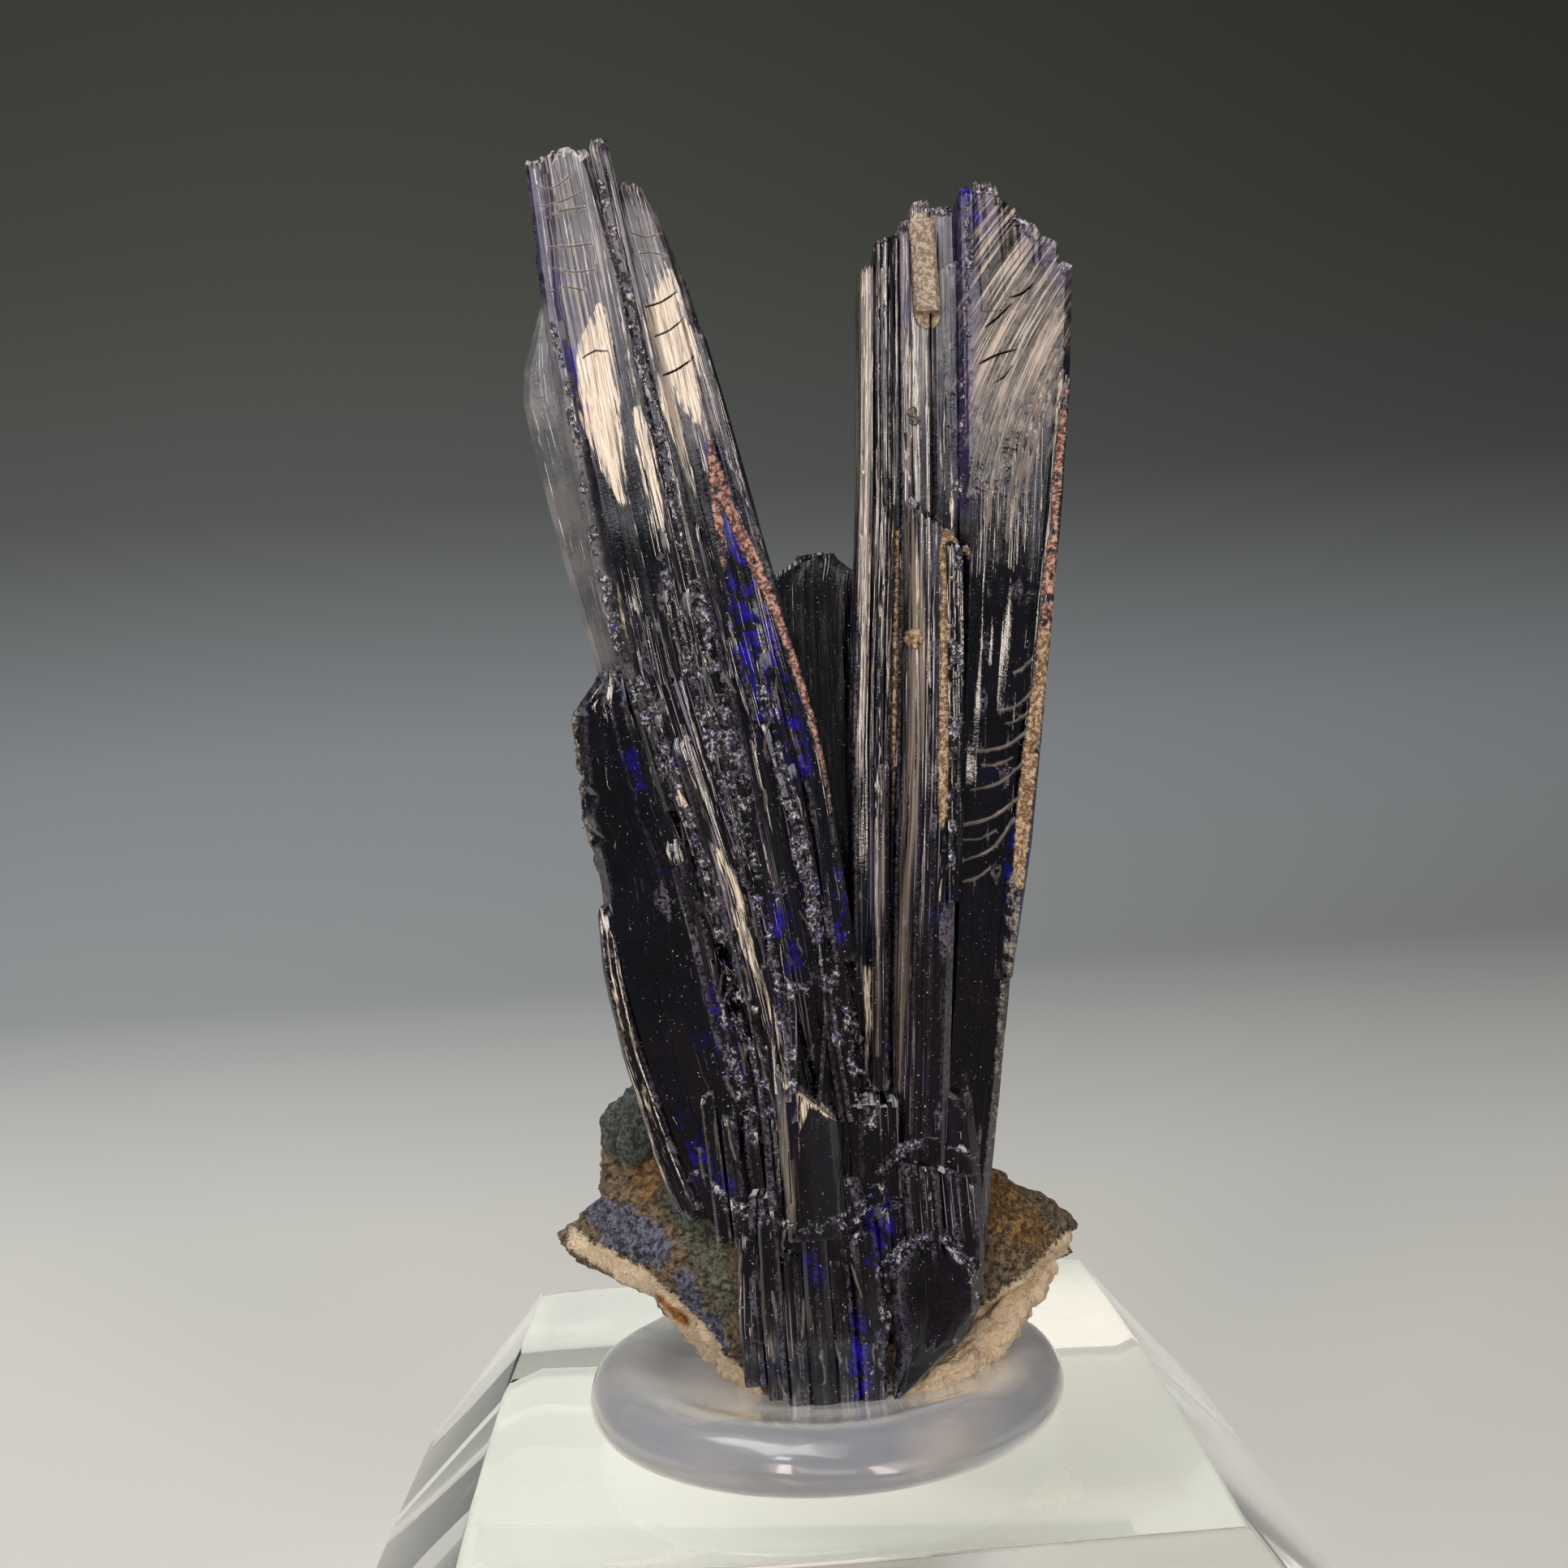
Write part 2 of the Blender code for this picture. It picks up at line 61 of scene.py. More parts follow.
# Crystals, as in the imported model: name, front y at the tip and at the foot, back y, how much the
# top rises to the right, height of the bevelled tip, and outline rows (z, left x, right x). In mm.
CRYSTALS = (
    # Left spray.
    ("left_step", -2.9, -3.0, -1.1, 0.1, 0.15,
     ((66.3, -8.6, -7.7), (60.5, -8.25, -7.0), (50.0, -6.9, -5.6), (42.0, -5.0, -3.6))),
    ("left_shoulder", -2.3, -2.5, -0.8, 0.3, 0.2,
     ((63.1, -8.5, -7.8), (60.0, -8.3, -7.4), (52.0, -7.3, -6.3))),
    ("left_main", -3.2, -3.5, -0.5, 0.15, 0.25,
     ((66.4, -8.0, -6.15), (61.0, -7.85, -4.9), (55.0, -7.1, -4.0), (47.3, -6.1, -2.7),
      (42.2, -4.6, -1.7), (39.4, -3.6, -1.0), (34.8, -2.9, -0.3), (31.6, -1.9, 0.2),
      (27.0, -0.8, 1.0))),
    ("left_ridge", -3.75, -3.9, -2.2, 0.0, 0.35,
     ((66.4, -6.15, -5.4), (59.0, -5.0, -4.2), (53.0, -4.0, -3.2), (45.0, -2.7, -1.8),
      (36.0, -1.4, -0.5))),
    ("left_second", -2.9, -3.2, 0.3, -0.25, 0.3,
     ((65.0, -5.3, -4.15), (61.3, -5.1, -2.8), (57.0, -4.6, -1.8), (52.2, -3.9, -0.75),
      (48.0, -3.3, 0.2), (44.6, -2.7, 0.95), (42.0, -2.3, 1.3), (38.0, -1.6, 1.7),
      (34.0, -1.0, 1.9), (28.0, 0.0, 2.0))),
    ("left_margin", -3.15, -3.5, -1.6, -0.3, 0.2,
     ((60.0, -3.2, -2.4), (57.0, -2.6, -1.7), (52.2, -1.6, -0.65), (48.0, -0.7, 0.3),
      (44.6, 0.0, 1.05), (41.0, 0.4, 1.5), (36.0, 0.9, 1.95))),
    ("left_rib_upper", -3.6, -3.9, -2.4, 0.2, 0.3,
     ((50.0, -3.9, -3.2), (44.0, -3.0, -2.2), (38.0, -1.9, -1.1), (31.0, -0.9, -0.1))),
    ("left_rib_right", -3.4, -3.7, -2.2, 0.2, 0.3,
     ((47.5, -1.2, -0.5), (42.0, -0.5, 0.2), (36.0, 0.2, 0.9), (30.0, 0.8, 1.5))),
    ("left_rib_lower", -3.5, -3.95, -2.3, 0.2, 0.3,
     ((44.5, -4.6, -3.7), (39.0, -3.2, -2.3), (33.0, -2.1, -1.2), (28.0, -1.1, -0.2))),
    ("glassy_left", -0.9, -0.7, 0.9, 0.0, 0.3,
     ((61.8, -8.4, -7.7), (59.0, -9.35, -7.0), (57.8, -9.45, -6.8), (55.7, -9.1, -6.3),
      (52.0, -8.4, -5.6), (48.2, -7.5, -5.0), (43.0, -6.4, -4.0))),
    # Broad dark blade low on the left, with its ragged outer edge.
    ("lower_left", -2.7, -3.3, 0.2, 0.2, 0.3,
     ((47.1, -7.3, -6.0), (46.4, -8.05, -5.8), (42.1, -8.0, -4.5), (39.5, -7.55, -3.4),
      (34.8, -7.3, -2.8), (31.6, -6.75, -1.8), (29.0, -6.05, -1.2), (26.6, -5.3, -0.6))),
    ("lower_left_chip", -2.3, -2.6, -0.9, 0.4, 0.2,
     ((45.9, -8.3, -7.6), (42.0, -8.15, -7.3), (39.6, -7.65, -6.8))),
    ("lower_left_side", -3.0, -3.5, -1.0, 0.3, 0.2,
     ((38.4, -7.75, -7.0), (36.0, -7.65, -6.8), (33.0, -7.15, -6.2), (29.0, -6.15, -5.1),
      (27.0, -5.5, -4.4))),
    ("inset_prism", -3.3, -3.6, -2.0, 0.0, 0.35,
     ((40.6, -5.0, -4.25), (37.5, -4.4, -3.6), (33.0, -3.6, -2.9))),
    ("stub_left", -3.7, -3.9, -2.0, 0.2, 0.2,
     ((31.2, -4.3, -3.65), (25.8, -4.0, -3.3))),
    ("stub_middle", -3.85, -4.05, -2.0, -0.2, 0.2,
     ((30.3, -3.55, -2.9), (25.6, -3.3, -2.6))),
    ("stub_right", -3.65, -3.85, -2.0, 0.2, 0.2,
     ((29.8, -2.8, -2.1), (25.7, -2.6, -1.8))),
    # The dark blade behind the V.
    ("back_blade", 1.3, 1.0, 3.0, 0.1, 0.25,
     ((51.35, 0.6, 2.4), (51.1, 0.0, 2.9), (50.3, -0.8, 3.4), (44.0, -1.1, 3.5), (34.0, -0.8, 3.2),
      (26.0, 0.0, 3.0))),
    # Right bundle, left to right.
    ("right_a", -1.8, -2.4, 0.6, 0.1, 0.2,
     ((61.9, 3.6, 4.25), (53.7, 3.05, 3.75), (44.5, 2.25, 3.0), (35.0, 1.7, 2.5), (28.0, 1.5, 2.4))),
    ("right_b", -2.2, -2.6, 0.2, 0.1, 0.2,
     ((62.75, 4.2, 4.75), (53.0, 3.6, 4.2), (44.5, 2.85, 3.5), (35.0, 2.2, 3.0), (28.0, 2.0, 3.0))),
    ("right_c", -1.9, -2.3, 0.8, -0.1, 0.2,
     ((62.9, 4.7, 5.2), (53.0, 4.1, 4.7), (44.0, 3.4, 4.0), (34.0, 2.7, 3.4), (28.0, 2.4, 3.2))),
    ("right_d", -2.1, -2.5, 0.9, 0.1, 0.2,
     ((63.4, 5.15, 5.6), (53.0, 4.6, 5.15), (44.0, 3.9, 4.5), (34.0, 3.1, 3.8), (28.0, 2.9, 3.6))),
    ("right_e", -2.0, -2.45, 1.2, 0.15, 0.2,
     ((64.1, 5.6, 6.4), (53.0, 5.05, 5.9), (44.0, 4.4, 5.2), (34.0, 3.6, 4.5), (28.0, 3.2, 4.1))),
    ("right_plate", -2.5, -2.45, -1.5, 0.1, 0.12,
     ((63.4, 5.5, 6.5), (60.1, 5.6, 6.55))),
    ("right_f_back", -1.2, -1.3, 1.4, 0.1, 0.15,
     ((64.1, 6.3, 7.5), (58.0, 6.1, 7.3))),
    ("right_f", -2.0, -2.35, 0.5, 0.2, 0.15,
     ((61.8, 6.3, 7.4), (53.0, 5.85, 7.0), (44.0, 5.1, 6.3), (34.0, 4.4, 5.6), (27.0, 3.8, 5.0))),
    ("right_g", -2.15, -2.3, -0.3, 0.1, 0.25,
     ((64.45, 7.45, 8.1), (56.0, 7.15, 7.7), (50.0, 6.9, 7.4))),
    ("right_apex", -2.3, -2.35, 1.1, -0.3, 0.3,
     ((64.55, 8.0, 9.0), (60.0, 7.9, 9.2))),
    ("right_tooth_a", -2.1, -2.2, 1.3, -0.5, 0.2,
     ((63.9, 8.9, 9.7), (59.5, 8.6, 9.9))),
    ("right_tooth_b", -2.2, -2.25, 1.2, -0.45, 0.2,
     ((63.1, 9.6, 10.5), (59.0, 9.3, 10.5))),
    ("right_tooth_c", -2.05, -2.15, 1.4, -0.3, 0.15,
     ((62.5, 10.4, 11.2), (58.5, 10.1, 11.0))),
    ("right_broad", -2.25, -2.9, 1.6, -0.3, 0.25,
     ((61.75, 7.3, 11.7), (57.9, 7.1, 11.4), (51.8, 6.8, 10.65), (47.5, 6.5, 10.0),
      (45.7, 6.3, 9.7), (41.0, 5.9, 9.0), (34.9, 5.3, 7.8), (30.2, 4.7, 7.1),
      (27.5, 4.2, 6.65), (24.3, 3.8, 6.2))),
    ("right_front", -3.2, -3.6, -1.5, -1.6, 0.2,
     ((52.2, 4.8, 6.7), (44.5, 4.3, 6.25), (41.0, 4.0, 6.05), (35.0, 3.45, 5.5), (28.0, 2.9, 4.9))),
    ("right_front_rib", -3.45, -3.7, -2.3, -0.3, 0.15,
     ((51.2, 6.1, 6.75), (44.0, 5.75, 6.4), (38.0, 5.4, 5.95))),
    ("right_low_rib", -2.85, -3.3, -1.5, 0.2, 0.25,
     ((43.0, 2.9, 3.6), (38.0, 2.6, 3.3), (31.0, 2.2, 2.9))),
    ("right_margin", -2.55, -2.95, -1.2, -0.2, 0.2,
     ((57.5, 10.75, 11.3), (51.8, 9.9, 10.6), (45.7, 8.85, 9.7), (40.0, 7.95, 8.85), (34.9, 7.1, 7.8))),
    # Ribs on the rear face.
    ("rear_left", -0.8, -0.8, 0.75, 0.3, 0.25,
     ((56.0, -6.0, -4.2), (48.0, -4.9, -3.0), (40.0, -3.2, -1.4), (30.0, -1.6, 0.4))),
    ("rear_right", 0.4, 0.4, 2.1, -0.4, 0.25,
     ((55.0, 7.9, 9.6), (46.0, 7.0, 8.6), (37.0, 5.9, 7.4), (27.5, 4.4, 6.0))),
    ("rear_right_thin", 0.4, 0.4, 1.8, 0.2, 0.2,
     ((59.5, 5.4, 6.2), (48.0, 4.7, 5.5), (36.0, 3.8, 4.7), (28.0, 3.3, 4.4))),
    # Foot: a low comb of stubby crystals in front, a striated block and a shield at the right.
    ("root", -3.3, -3.6, 2.4, 0.0, 0.4,
     ((30.6, -3.0, 6.0), (27.0, -3.4, 6.2), (24.0, -3.3, 6.0), (22.0, -3.0, 5.4), (20.6, -2.4, 4.0))),
    ("short_prism", -4.35, -4.45, -2.0, -1.9, 0.12,
     ((31.1, -1.45, 0.8), (25.8, -1.55, 0.95))),
    ("foot_seam", -3.95, -4.25, -1.6, 0.2, 0.2,
     ((27.6, -3.0, 1.6), (25.0, -3.2, 2.0), (22.0, -3.2, 2.2))),
    ("foot_a", -4.1, -4.3, -1.2, -0.3, 0.15,
     ((25.9, -3.25, -2.3), (22.6, -3.4, -2.35), (20.4, -3.3, -2.3))),
    ("foot_b", -4.35, -4.5, -1.2, 0.3, 0.15,
     ((26.9, -2.45, -1.65), (23.0, -2.5, -1.6), (19.9, -2.4, -1.6))),
    ("foot_c", -4.25, -4.4, -1.2, -0.2, 0.15,
     ((25.3, -1.75, -0.75), (22.0, -1.75, -0.7), (19.4, -1.7, -0.7))),
    ("foot_d", -4.4, -4.5, -1.2, 0.4, 0.15,
     ((26.2, -0.85, 0.15), (22.4, -0.85, 0.2), (19.0, -0.8, 0.25))),
    ("foot_e", -4.3, -4.45, -1.2, -0.4, 0.15,
     ((24.8, 0.05, 1.0), (21.4, 0.1, 1.1), (18.75, 0.15, 1.1))),
    ("foot_f", -4.45, -4.5, -1.2, 0.2, 0.15,
     ((25.9, 0.9, 2.1), (22.2, 0.95, 2.3), (18.9, 1.0, 2.0))),
    ("foot_block", -3.9, -4.2, -1.6, 0.3, 0.15,
     ((26.9, 1.9, 3.6), (25.0, 1.8, 3.7), (23.6, 1.9, 3.6))),
    ("foot_block_middle", -4.1, -4.35, -1.6, -0.3, 0.15,
     ((28.1, 3.0, 4.5), (25.0, 3.0, 4.6), (23.6, 3.0, 4.5))),
    ("foot_block_right", -3.9, -4.2, -1.6, -0.5, 0.15,
     ((27.7, 4.4, 6.0), (25.0, 4.5, 6.1), (23.4, 4.4, 5.9))),
    ("foot_shield", -4.5, -4.6, -1.4, 0.0, 0.3,
     ((25.2, 2.8, 5.2), (24.6, 2.3, 5.8), (22.8, 2.4, 5.7), (21.6, 2.4, 5.0), (20.5, 2.3, 3.6),
      (19.7, 2.0, 2.5))),
)

# The rock's upright axis as (x, y) in mm, and how strong its large lumps are.
ROCK_AXIS = (0.0, 0.6)
ROCK_NOISE = 0.32
# Lumps of the rock, its grain, its lip and its knob, as (waves for each mm or unit, height).
ROCK_LUMPS = ((1.0, 1.6), (2.7, 0.9))
ROCK_GRAIN = ((1.7, 0.3), (4.1, 0.2), (8.5, 0.12))
LIP_LUMPS = ((1.4, 0.5), (3.3, 0.35), (7.0, 0.2))
KNOB_LUMPS = ((1.9, 0.16), (4.5, 0.1), (9.0, 0.06), (18.0, 0.03))
# The rock's rings as (z, reach to the left, right, front and back of the axis), in mm.
ROCK_LEVELS = (
    (18.95, 2.4, 2.2, 4.2, 1.4),
    (19.5, 3.8, 3.2, 4.8, 2.4),
    (20.4, 4.9, 4.9, 4.7, 3.2),
    (21.5, 5.8, 6.9, 4.6, 3.8),
    (22.6, 6.7, 8.9, 4.7, 4.2),
    (23.5, 8.2, 10.0, 4.5, 4.4),
    (24.4, 9.9, 10.0, 4.3, 4.5),
    (25.2, 10.4, 9.4, 4.2, 4.5),
    (26.0, 9.7, 8.2, 4.0, 4.3),
    (26.9, 8.8, 6.9, 3.7, 4.0),
    (27.9, 8.3, 5.6, 2.6, 3.5),
    (28.9, 7.9, 4.0, 1.9, 2.9),
)
# The grey-green lump that stands up at the left end of the rock: centre and radii, in mm.
KNOB_CENTRE = (-6.6, 0.9, 28.6)
KNOB_RADII = (1.75, 1.7, 2.5)
# The thick broken lip along the rock's lower right edge, as (x, y, z, radius).
ROCK_LIP = (
    (1.7, -3.7, 19.1, 0.3), (3.2, -3.5, 19.5, 0.48), (4.8, -3.1, 20.3, 0.66), (6.5, -2.2, 21.2, 0.66),
    (8.1, -1.2, 22.4, 0.5), (9.1, -0.4, 23.2, 0.3),
)

# How a crystal's faces are worked: flute pitch, flute depth, how broken the tip is, how ragged the
# side edges are, all in mm. Crystals not listed by name are "ribbed".
STYLES = {
    "ribbed": (0.26, 0.09, 0.35, 0.03),
    "broad": (0.34, 0.02, 0.4, 0.05),
    "smooth": (0.7, 0.012, 0.1, 0.02),
    "ragged": (0.45, 0.05, 0.5, 0.35),
    "striated": (0.2, 0.06, 0.25, 0.03),
}
STYLE_OF = {
    "left_main": "broad",
    "left_second": "broad",
    "glassy_left": "smooth",
    "lower_left": "ragged",
    "lower_left_chip": "ragged",
    "lower_left_side": "striated",
    "back_blade": "smooth",
    "right_broad": "broad",
    "right_plate": "smooth",
    "right_f": "broad",
    "right_front": "striated",
    "short_prism": "smooth",
    "foot_shield": "ragged",
    "foot_block_middle": "striated",
    "foot_block_right": "striated",
}
# Bevelled corners, as a share of the crystal's width and at most in mm, and how far the tip draws in.
CORNER_SHARE = 0.16
CORNER_MAX = 0.35
TIP_INSET = 0.08
# Each flute leaves this share of its width free at either side. The side and rear faces have wider
# flutes than the front, by these factors, and the side faces have shallower ones.
FLUTE_GAP = 0.03
SIDE_PITCH = 1.6
SIDE_DEPTH = 0.7
REAR_PITCH = 2.0
# A broken tip takes at most this share of the crystal's width, and its ring keeps clear of the next, in mm.
JAG_SHARE = 0.25
TIP_CLEAR = 0.15
# How far the front faces swell and dip along their length, in mm.
FACE_WAVE = 0.05

# Finishes and painted light that lie on the front, as strokes: finish, then points (x, z, half width) in mm.
FRONT_STROKES = {
    # Cream patches painted on: a painted reflection of the warm lights.
    "cream_reflection": (
        ((-6.1, 60.7, 0.2), (-6.4, 59.2, 0.66), (-6.42, 57.2, 0.8), (-6.15, 55.3, 0.52),
         (-5.7, 53.4, 0.12)),
        ((-3.6, 61.7, 0.36), (-3.8, 60.4, 0.76), (-3.5, 58.9, 0.84), (-3.1, 57.4, 0.5), (-2.8, 56.3, 0.1)),
        ((-1.5, 31.95, 0.08), (0.8, 30.18, 0.08)),
        ((-5.0, 56.9, 0.15), (-4.8, 55.4, 0.34), (-4.55, 53.9, 0.3), (-4.4, 52.4, 0.08)),
        ((-4.1, 58.4, 0.1), (-3.75, 56.6, 0.3), (-3.3, 54.8, 0.16), (-3.1, 53.6, 0.04)),
        ((-7.98, 53.2, 0.06), (-7.65, 51.6, 0.12), (-7.32, 50.0, 0.05)),
        ((-6.24, 50.6, 0.06), (-6.1, 49.3, 0.13), (-5.95, 48.0, 0.05)),
        ((-3.3, 40.9, 0.0), (-2.8, 39.8, 0.22), (-2.3, 38.4, 0.14), (-2.1, 37.9, 0.0)),
        ((-2.65, 38.6, 0.04), (-2.2, 37.0, 0.26), (-1.75, 35.4, 0.04)),
        ((-4.6, 43.3, 0.05), (-4.2, 42.3, 0.12), (-3.8, 41.3, 0.05)),
        ((-1.75, 36.0, 0.0), (-1.35, 34.0, 0.12), (-1.0, 31.6, 0.0)),
        ((-7.62, 39.8, 0.0), (-7.3, 36.0, 0.07), (-6.85, 32.6, 0.06), (-6.0, 28.8, 0.05),
         (-5.6, 27.4, 0.0)),
        ((-7.2, 38.0, 0.0), (-6.8, 34.5, 0.03), (-6.2, 31.0, 0.03), (-5.5, 28.6, 0.0)),
        ((2.3, 35.5, 0.14), (2.25, 33.5, 0.08), (2.05, 31.2, 0.0)),
        ((-0.67, 31.3, 0.0), (-0.66, 28.5, 0.03), (-0.7, 26.4, 0.0)),
        ((6.85, 56.0, 0.04), (6.65, 53.0, 0.1), (6.55, 51.6, 0.05)),
    ),
    # Softer brown-grey sheen down the right bundle and the small prism: a painted reflection.
    "sheen": (
        ((3.9, 61.7, 0.22), (3.55, 57.0, 0.24), (3.2, 51.0, 0.2), (2.85, 46.5, 0.08), (2.5, 43.0, 0.0)),
        ((5.35, 58.6, 0.0), (5.05, 55.0, 0.06), (4.85, 53.0, 0.0)),
        ((4.95, 52.3, 0.16), (4.9, 48.5, 0.26), (4.65, 44.4, 0.24), (4.1, 40.0, 0.18), (3.6, 35.6, 0.14),
         (3.2, 31.0, 0.06)),
        ((3.35, 43.0, 0.0), (2.95, 38.0, 0.08), (2.45, 32.4, 0.06)),
        ((-1.27, 31.6, 0.1), (-1.2, 29.0, 0.16), (-1.1, 26.2, 0.1)),
    ),
    # Iron-stained crusts, from salmon to tan, and the flat grey-brown plate on the right bundle, whose pale
    # cream tone is a painted reflection.
    "salmon": (
        ((-2.42, 55.6, 0.08), (-1.72, 52.8, 0.2), (-0.95, 50.8, 0.22), (-0.28, 49.0, 0.16),
         (0.34, 46.8, 0.14), (0.72, 45.3, 0.1), (1.1, 43.4, 0.07), (1.3, 41.6, 0.03)),
        ((-2.4, 55.2, 0.12), (-2.3, 53.2, 0.18), (-2.15, 50.9, 0.08)),
        ((11.05, 56.8, 0.1), (10.6, 54.0, 0.16), (10.3, 51.6, 0.14), (10.0, 49.6, 0.26),
         (9.75, 47.6, 0.24)),
    ),
    "tan": (
        ((9.75, 47.8, 0.22), (9.4, 45.7, 0.26), (8.95, 43.3, 0.3), (8.52, 40.8, 0.28), (8.2, 38.4, 0.2)),
        ((6.28, 51.5, 0.38), (6.16, 50.0, 0.3), (6.1, 48.6, 0.33), (5.85, 45.6, 0.27), (5.6, 42.4, 0.26),
         (5.4, 40.8, 0.1)),
        ((4.79, 47.95, 0.3), (4.8, 47.8, 0.3)),
        ((6.95, 51.2, 0.1), (7.05, 50.9, 0.12)),
    ),
    "plate": (
        ((6.03, 63.4, 0.5), (6.08, 60.0, 0.5)),
    ),
    # Grey grit on the margins.
    "grit": (
        ((8.1, 38.6, 0.26), (7.7, 35.6, 0.24), (7.2, 31.9, 0.22), (6.85, 28.9, 0.2)),
        ((5.35, 56.35, 0.26), (5.35, 56.2, 0.26)),
        ((-8.15, 46.5, 0.1), (-8.1, 43.0, 0.2), (-7.7, 39.8, 0.12)),
    ),
    # Seams of tiny crystals.
    "druse": (
        ((-5.98, 66.0, 0.14), (-5.6, 63.6, 0.24), (-5.2, 61.6, 0.2), (-4.75, 58.5, 0.22),
         (-4.28, 55.8, 0.24), (-3.88, 53.4, 0.2), (-3.45, 50.9, 0.28), (-2.9, 48.2, 0.26),
         (-2.3, 44.6, 0.24), (-1.7, 41.2, 0.3)),
        ((-8.0, 60.6, 0.1), (-7.45, 56.8, 0.18), (-6.95, 52.6, 0.2), (-6.35, 48.8, 0.24),
         (-5.6, 45.4, 0.26)),
        ((-7.0, 47.3, 0.2), (-6.4, 46.9, 0.36), (-5.8, 46.5, 0.24)),
        ((-5.5, 46.8, 0.2), (-4.75, 43.8, 0.34), (-4.0, 41.2, 0.26), (-3.3, 38.6, 0.36),
         (-2.85, 35.8, 0.26), (-2.2, 33.0, 0.3), (-1.7, 30.4, 0.2)),
        ((-4.6, 51.5, 0.16), (-3.9, 48.6, 0.3), (-3.2, 45.6, 0.34), (-2.6, 42.8, 0.26), (-1.9, 39.6, 0.36),
         (-1.3, 36.4, 0.24), (-0.9, 33.4, 0.3), (-0.8, 31.6, 0.2)),
        ((-1.1, 46.6, 0.14), (-0.6, 43.6, 0.2), (0.0, 40.6, 0.3), (0.4, 38.0, 0.36), (0.9, 35.6, 0.3),
         (1.0, 33.0, 0.2)),
        ((-1.5, 38.9, 0.2), (-0.6, 39.2, 0.26), (0.1, 38.2, 0.2)),
        ((-1.4, 35.6, 0.16), (-0.5, 35.0, 0.2), (0.4, 35.3, 0.18), (1.1, 35.5, 0.14)),
        ((-3.2, 34.6, 0.2), (-3.0, 32.0, 0.26), (-2.2, 29.6, 0.3)),
        ((7.75, 64.3, 0.1), (7.74, 61.6, 0.16), (7.4, 58.3, 0.13), (6.85, 53.2, 0.12)),
        ((-4.6, 28.4, 0.2), (-3.4, 27.2, 0.24), (-2.0, 26.6, 0.16), (-0.6, 26.3, 0.2), (1.0, 26.4, 0.3),
         (2.2, 27.2, 0.3)),
        ((2.3, 28.0, 0.16), (3.4, 28.9, 0.18), (4.6, 29.0, 0.16), (6.1, 28.2, 0.14)),
        ((2.3, 24.6, 0.2), (3.3, 25.5, 0.2), (4.4, 25.6, 0.2), (5.4, 24.7, 0.2), (5.6, 23.2, 0.16)),
        ((2.1, 24.4, 0.24), (2.2, 22.6, 0.2), (1.6, 20.6, 0.16)),
        ((1.5, 34.0, 0.26), (1.7, 31.6, 0.34), (2.2, 29.4, 0.36)),
        ((4.4, 62.6, 0.18), (5.3, 63.4, 0.24), (6.4, 64.0, 0.3), (7.3, 64.2, 0.2)),
        ((8.2, 64.6, 0.2), (9.0, 64.1, 0.24), (9.9, 63.0, 0.24), (10.9, 62.0, 0.24), (11.5, 61.2, 0.2)),
        ((-7.6, 66.6, 0.14), (-6.9, 66.6, 0.14), (-6.2, 66.5, 0.1)),
    ),
    # Where light comes through and shows pure blue.
    "blue": (
        ((-2.35, 55.6, 0.14), (-1.75, 52.2, 0.3), (-1.0, 48.8, 0.4), (-0.2, 45.6, 0.36), (0.3, 43.2, 0.24)),
        ((-1.6, 50.6, 0.4), (-1.6, 47.6, 0.36), (-0.9, 44.6, 0.3)),
        ((-1.2, 38.4, 0.3), (-0.85, 37.2, 0.5), (-0.4, 36.0, 0.3)),
        ((-3.6, 35.0, 0.1), (-3.2, 33.4, 0.26), (-2.9, 31.8, 0.1)),
        ((-6.2, 44.2, 0.1), (-5.8, 42.8, 0.16)),
        ((-4.9, 30.6, 0.1), (-4.4, 29.0, 0.24), (-3.6, 27.8, 0.3)),
        ((2.0, 27.0, 0.3), (2.2, 26.0, 0.4), (1.8, 25.0, 0.2)),
        ((1.1, 22.8, 0.2), (1.05, 20.6, 0.3), (1.1, 19.2, 0.2)),
        ((-0.5, 25.4, 0.2), (-0.4, 24.2, 0.16)),
        ((7.85, 64.4, 0.34), (8.0, 63.4, 0.2)),
        ((8.7, 41.2, 0.3), (8.2, 38.8, 0.44), (7.8, 36.6, 0.3)),
        ((-7.3, 60.2, 0.2), (-7.15, 58.4, 0.26), (-6.9, 56.4, 0.16)),
        ((-7.7, 62.0, 0.12), (-7.4, 60.0, 0.16)),
        ((1.6, 39.5, 0.12), (1.4, 37.0, 0.16)),
    ),
    # Violet tint on thin upper edges.
    "violet": (
        ((7.6, 63.4, 0.36), (7.7, 60.0, 0.42), (7.3, 56.0, 0.34), (6.9, 52.6, 0.2)),
        ((8.8, 63.6, 0.7), (10.4, 62.4, 0.6), (11.3, 61.0, 0.4)),
        ((-8.2, 65.6, 0.3), (-7.9, 62.0, 0.36), (-7.6, 58.6, 0.3)),
        ((5.0, 62.6, 0.5), (5.2, 60.0, 0.3)),
    ),
    # Upper faces and the glassy blade, which look like grey glass: painted grey, a painted sheen over the
    # reflection of the high front light.
    "glass": (
        ((-7.1, 67.0, 1.2), (-6.7, 62.0, 1.3), (-6.4, 58.4, 0.9), (-6.2, 55.5, 0.3)),
        ((-4.8, 65.4, 0.8), (-4.1, 61.6, 1.0), (-3.4, 58.4, 0.8), (-2.6, 56.0, 0.3)),
        ((6.2, 64.0, 1.0), (5.9, 60.0, 0.8), (5.6, 56.6, 0.3)),
    ),
    "clear": (
        ((-8.8, 60.6, 0.9), (-8.5, 57.5, 1.1), (-8.0, 54.0, 1.0), (-7.4, 50.5, 0.85), (-6.95, 47.8, 0.5)),
    ),
    # Warm grey-brown fan on the broad right blade, painted lighter towards its top as a painted reflection.
    "fan": (
        ((9.9, 63.0, 1.9), (9.6, 60.0, 2.0), (8.6, 57.0, 1.3), (7.9, 54.0, 0.6)),
    ),
    # Clean dark faces.
    "calm": (
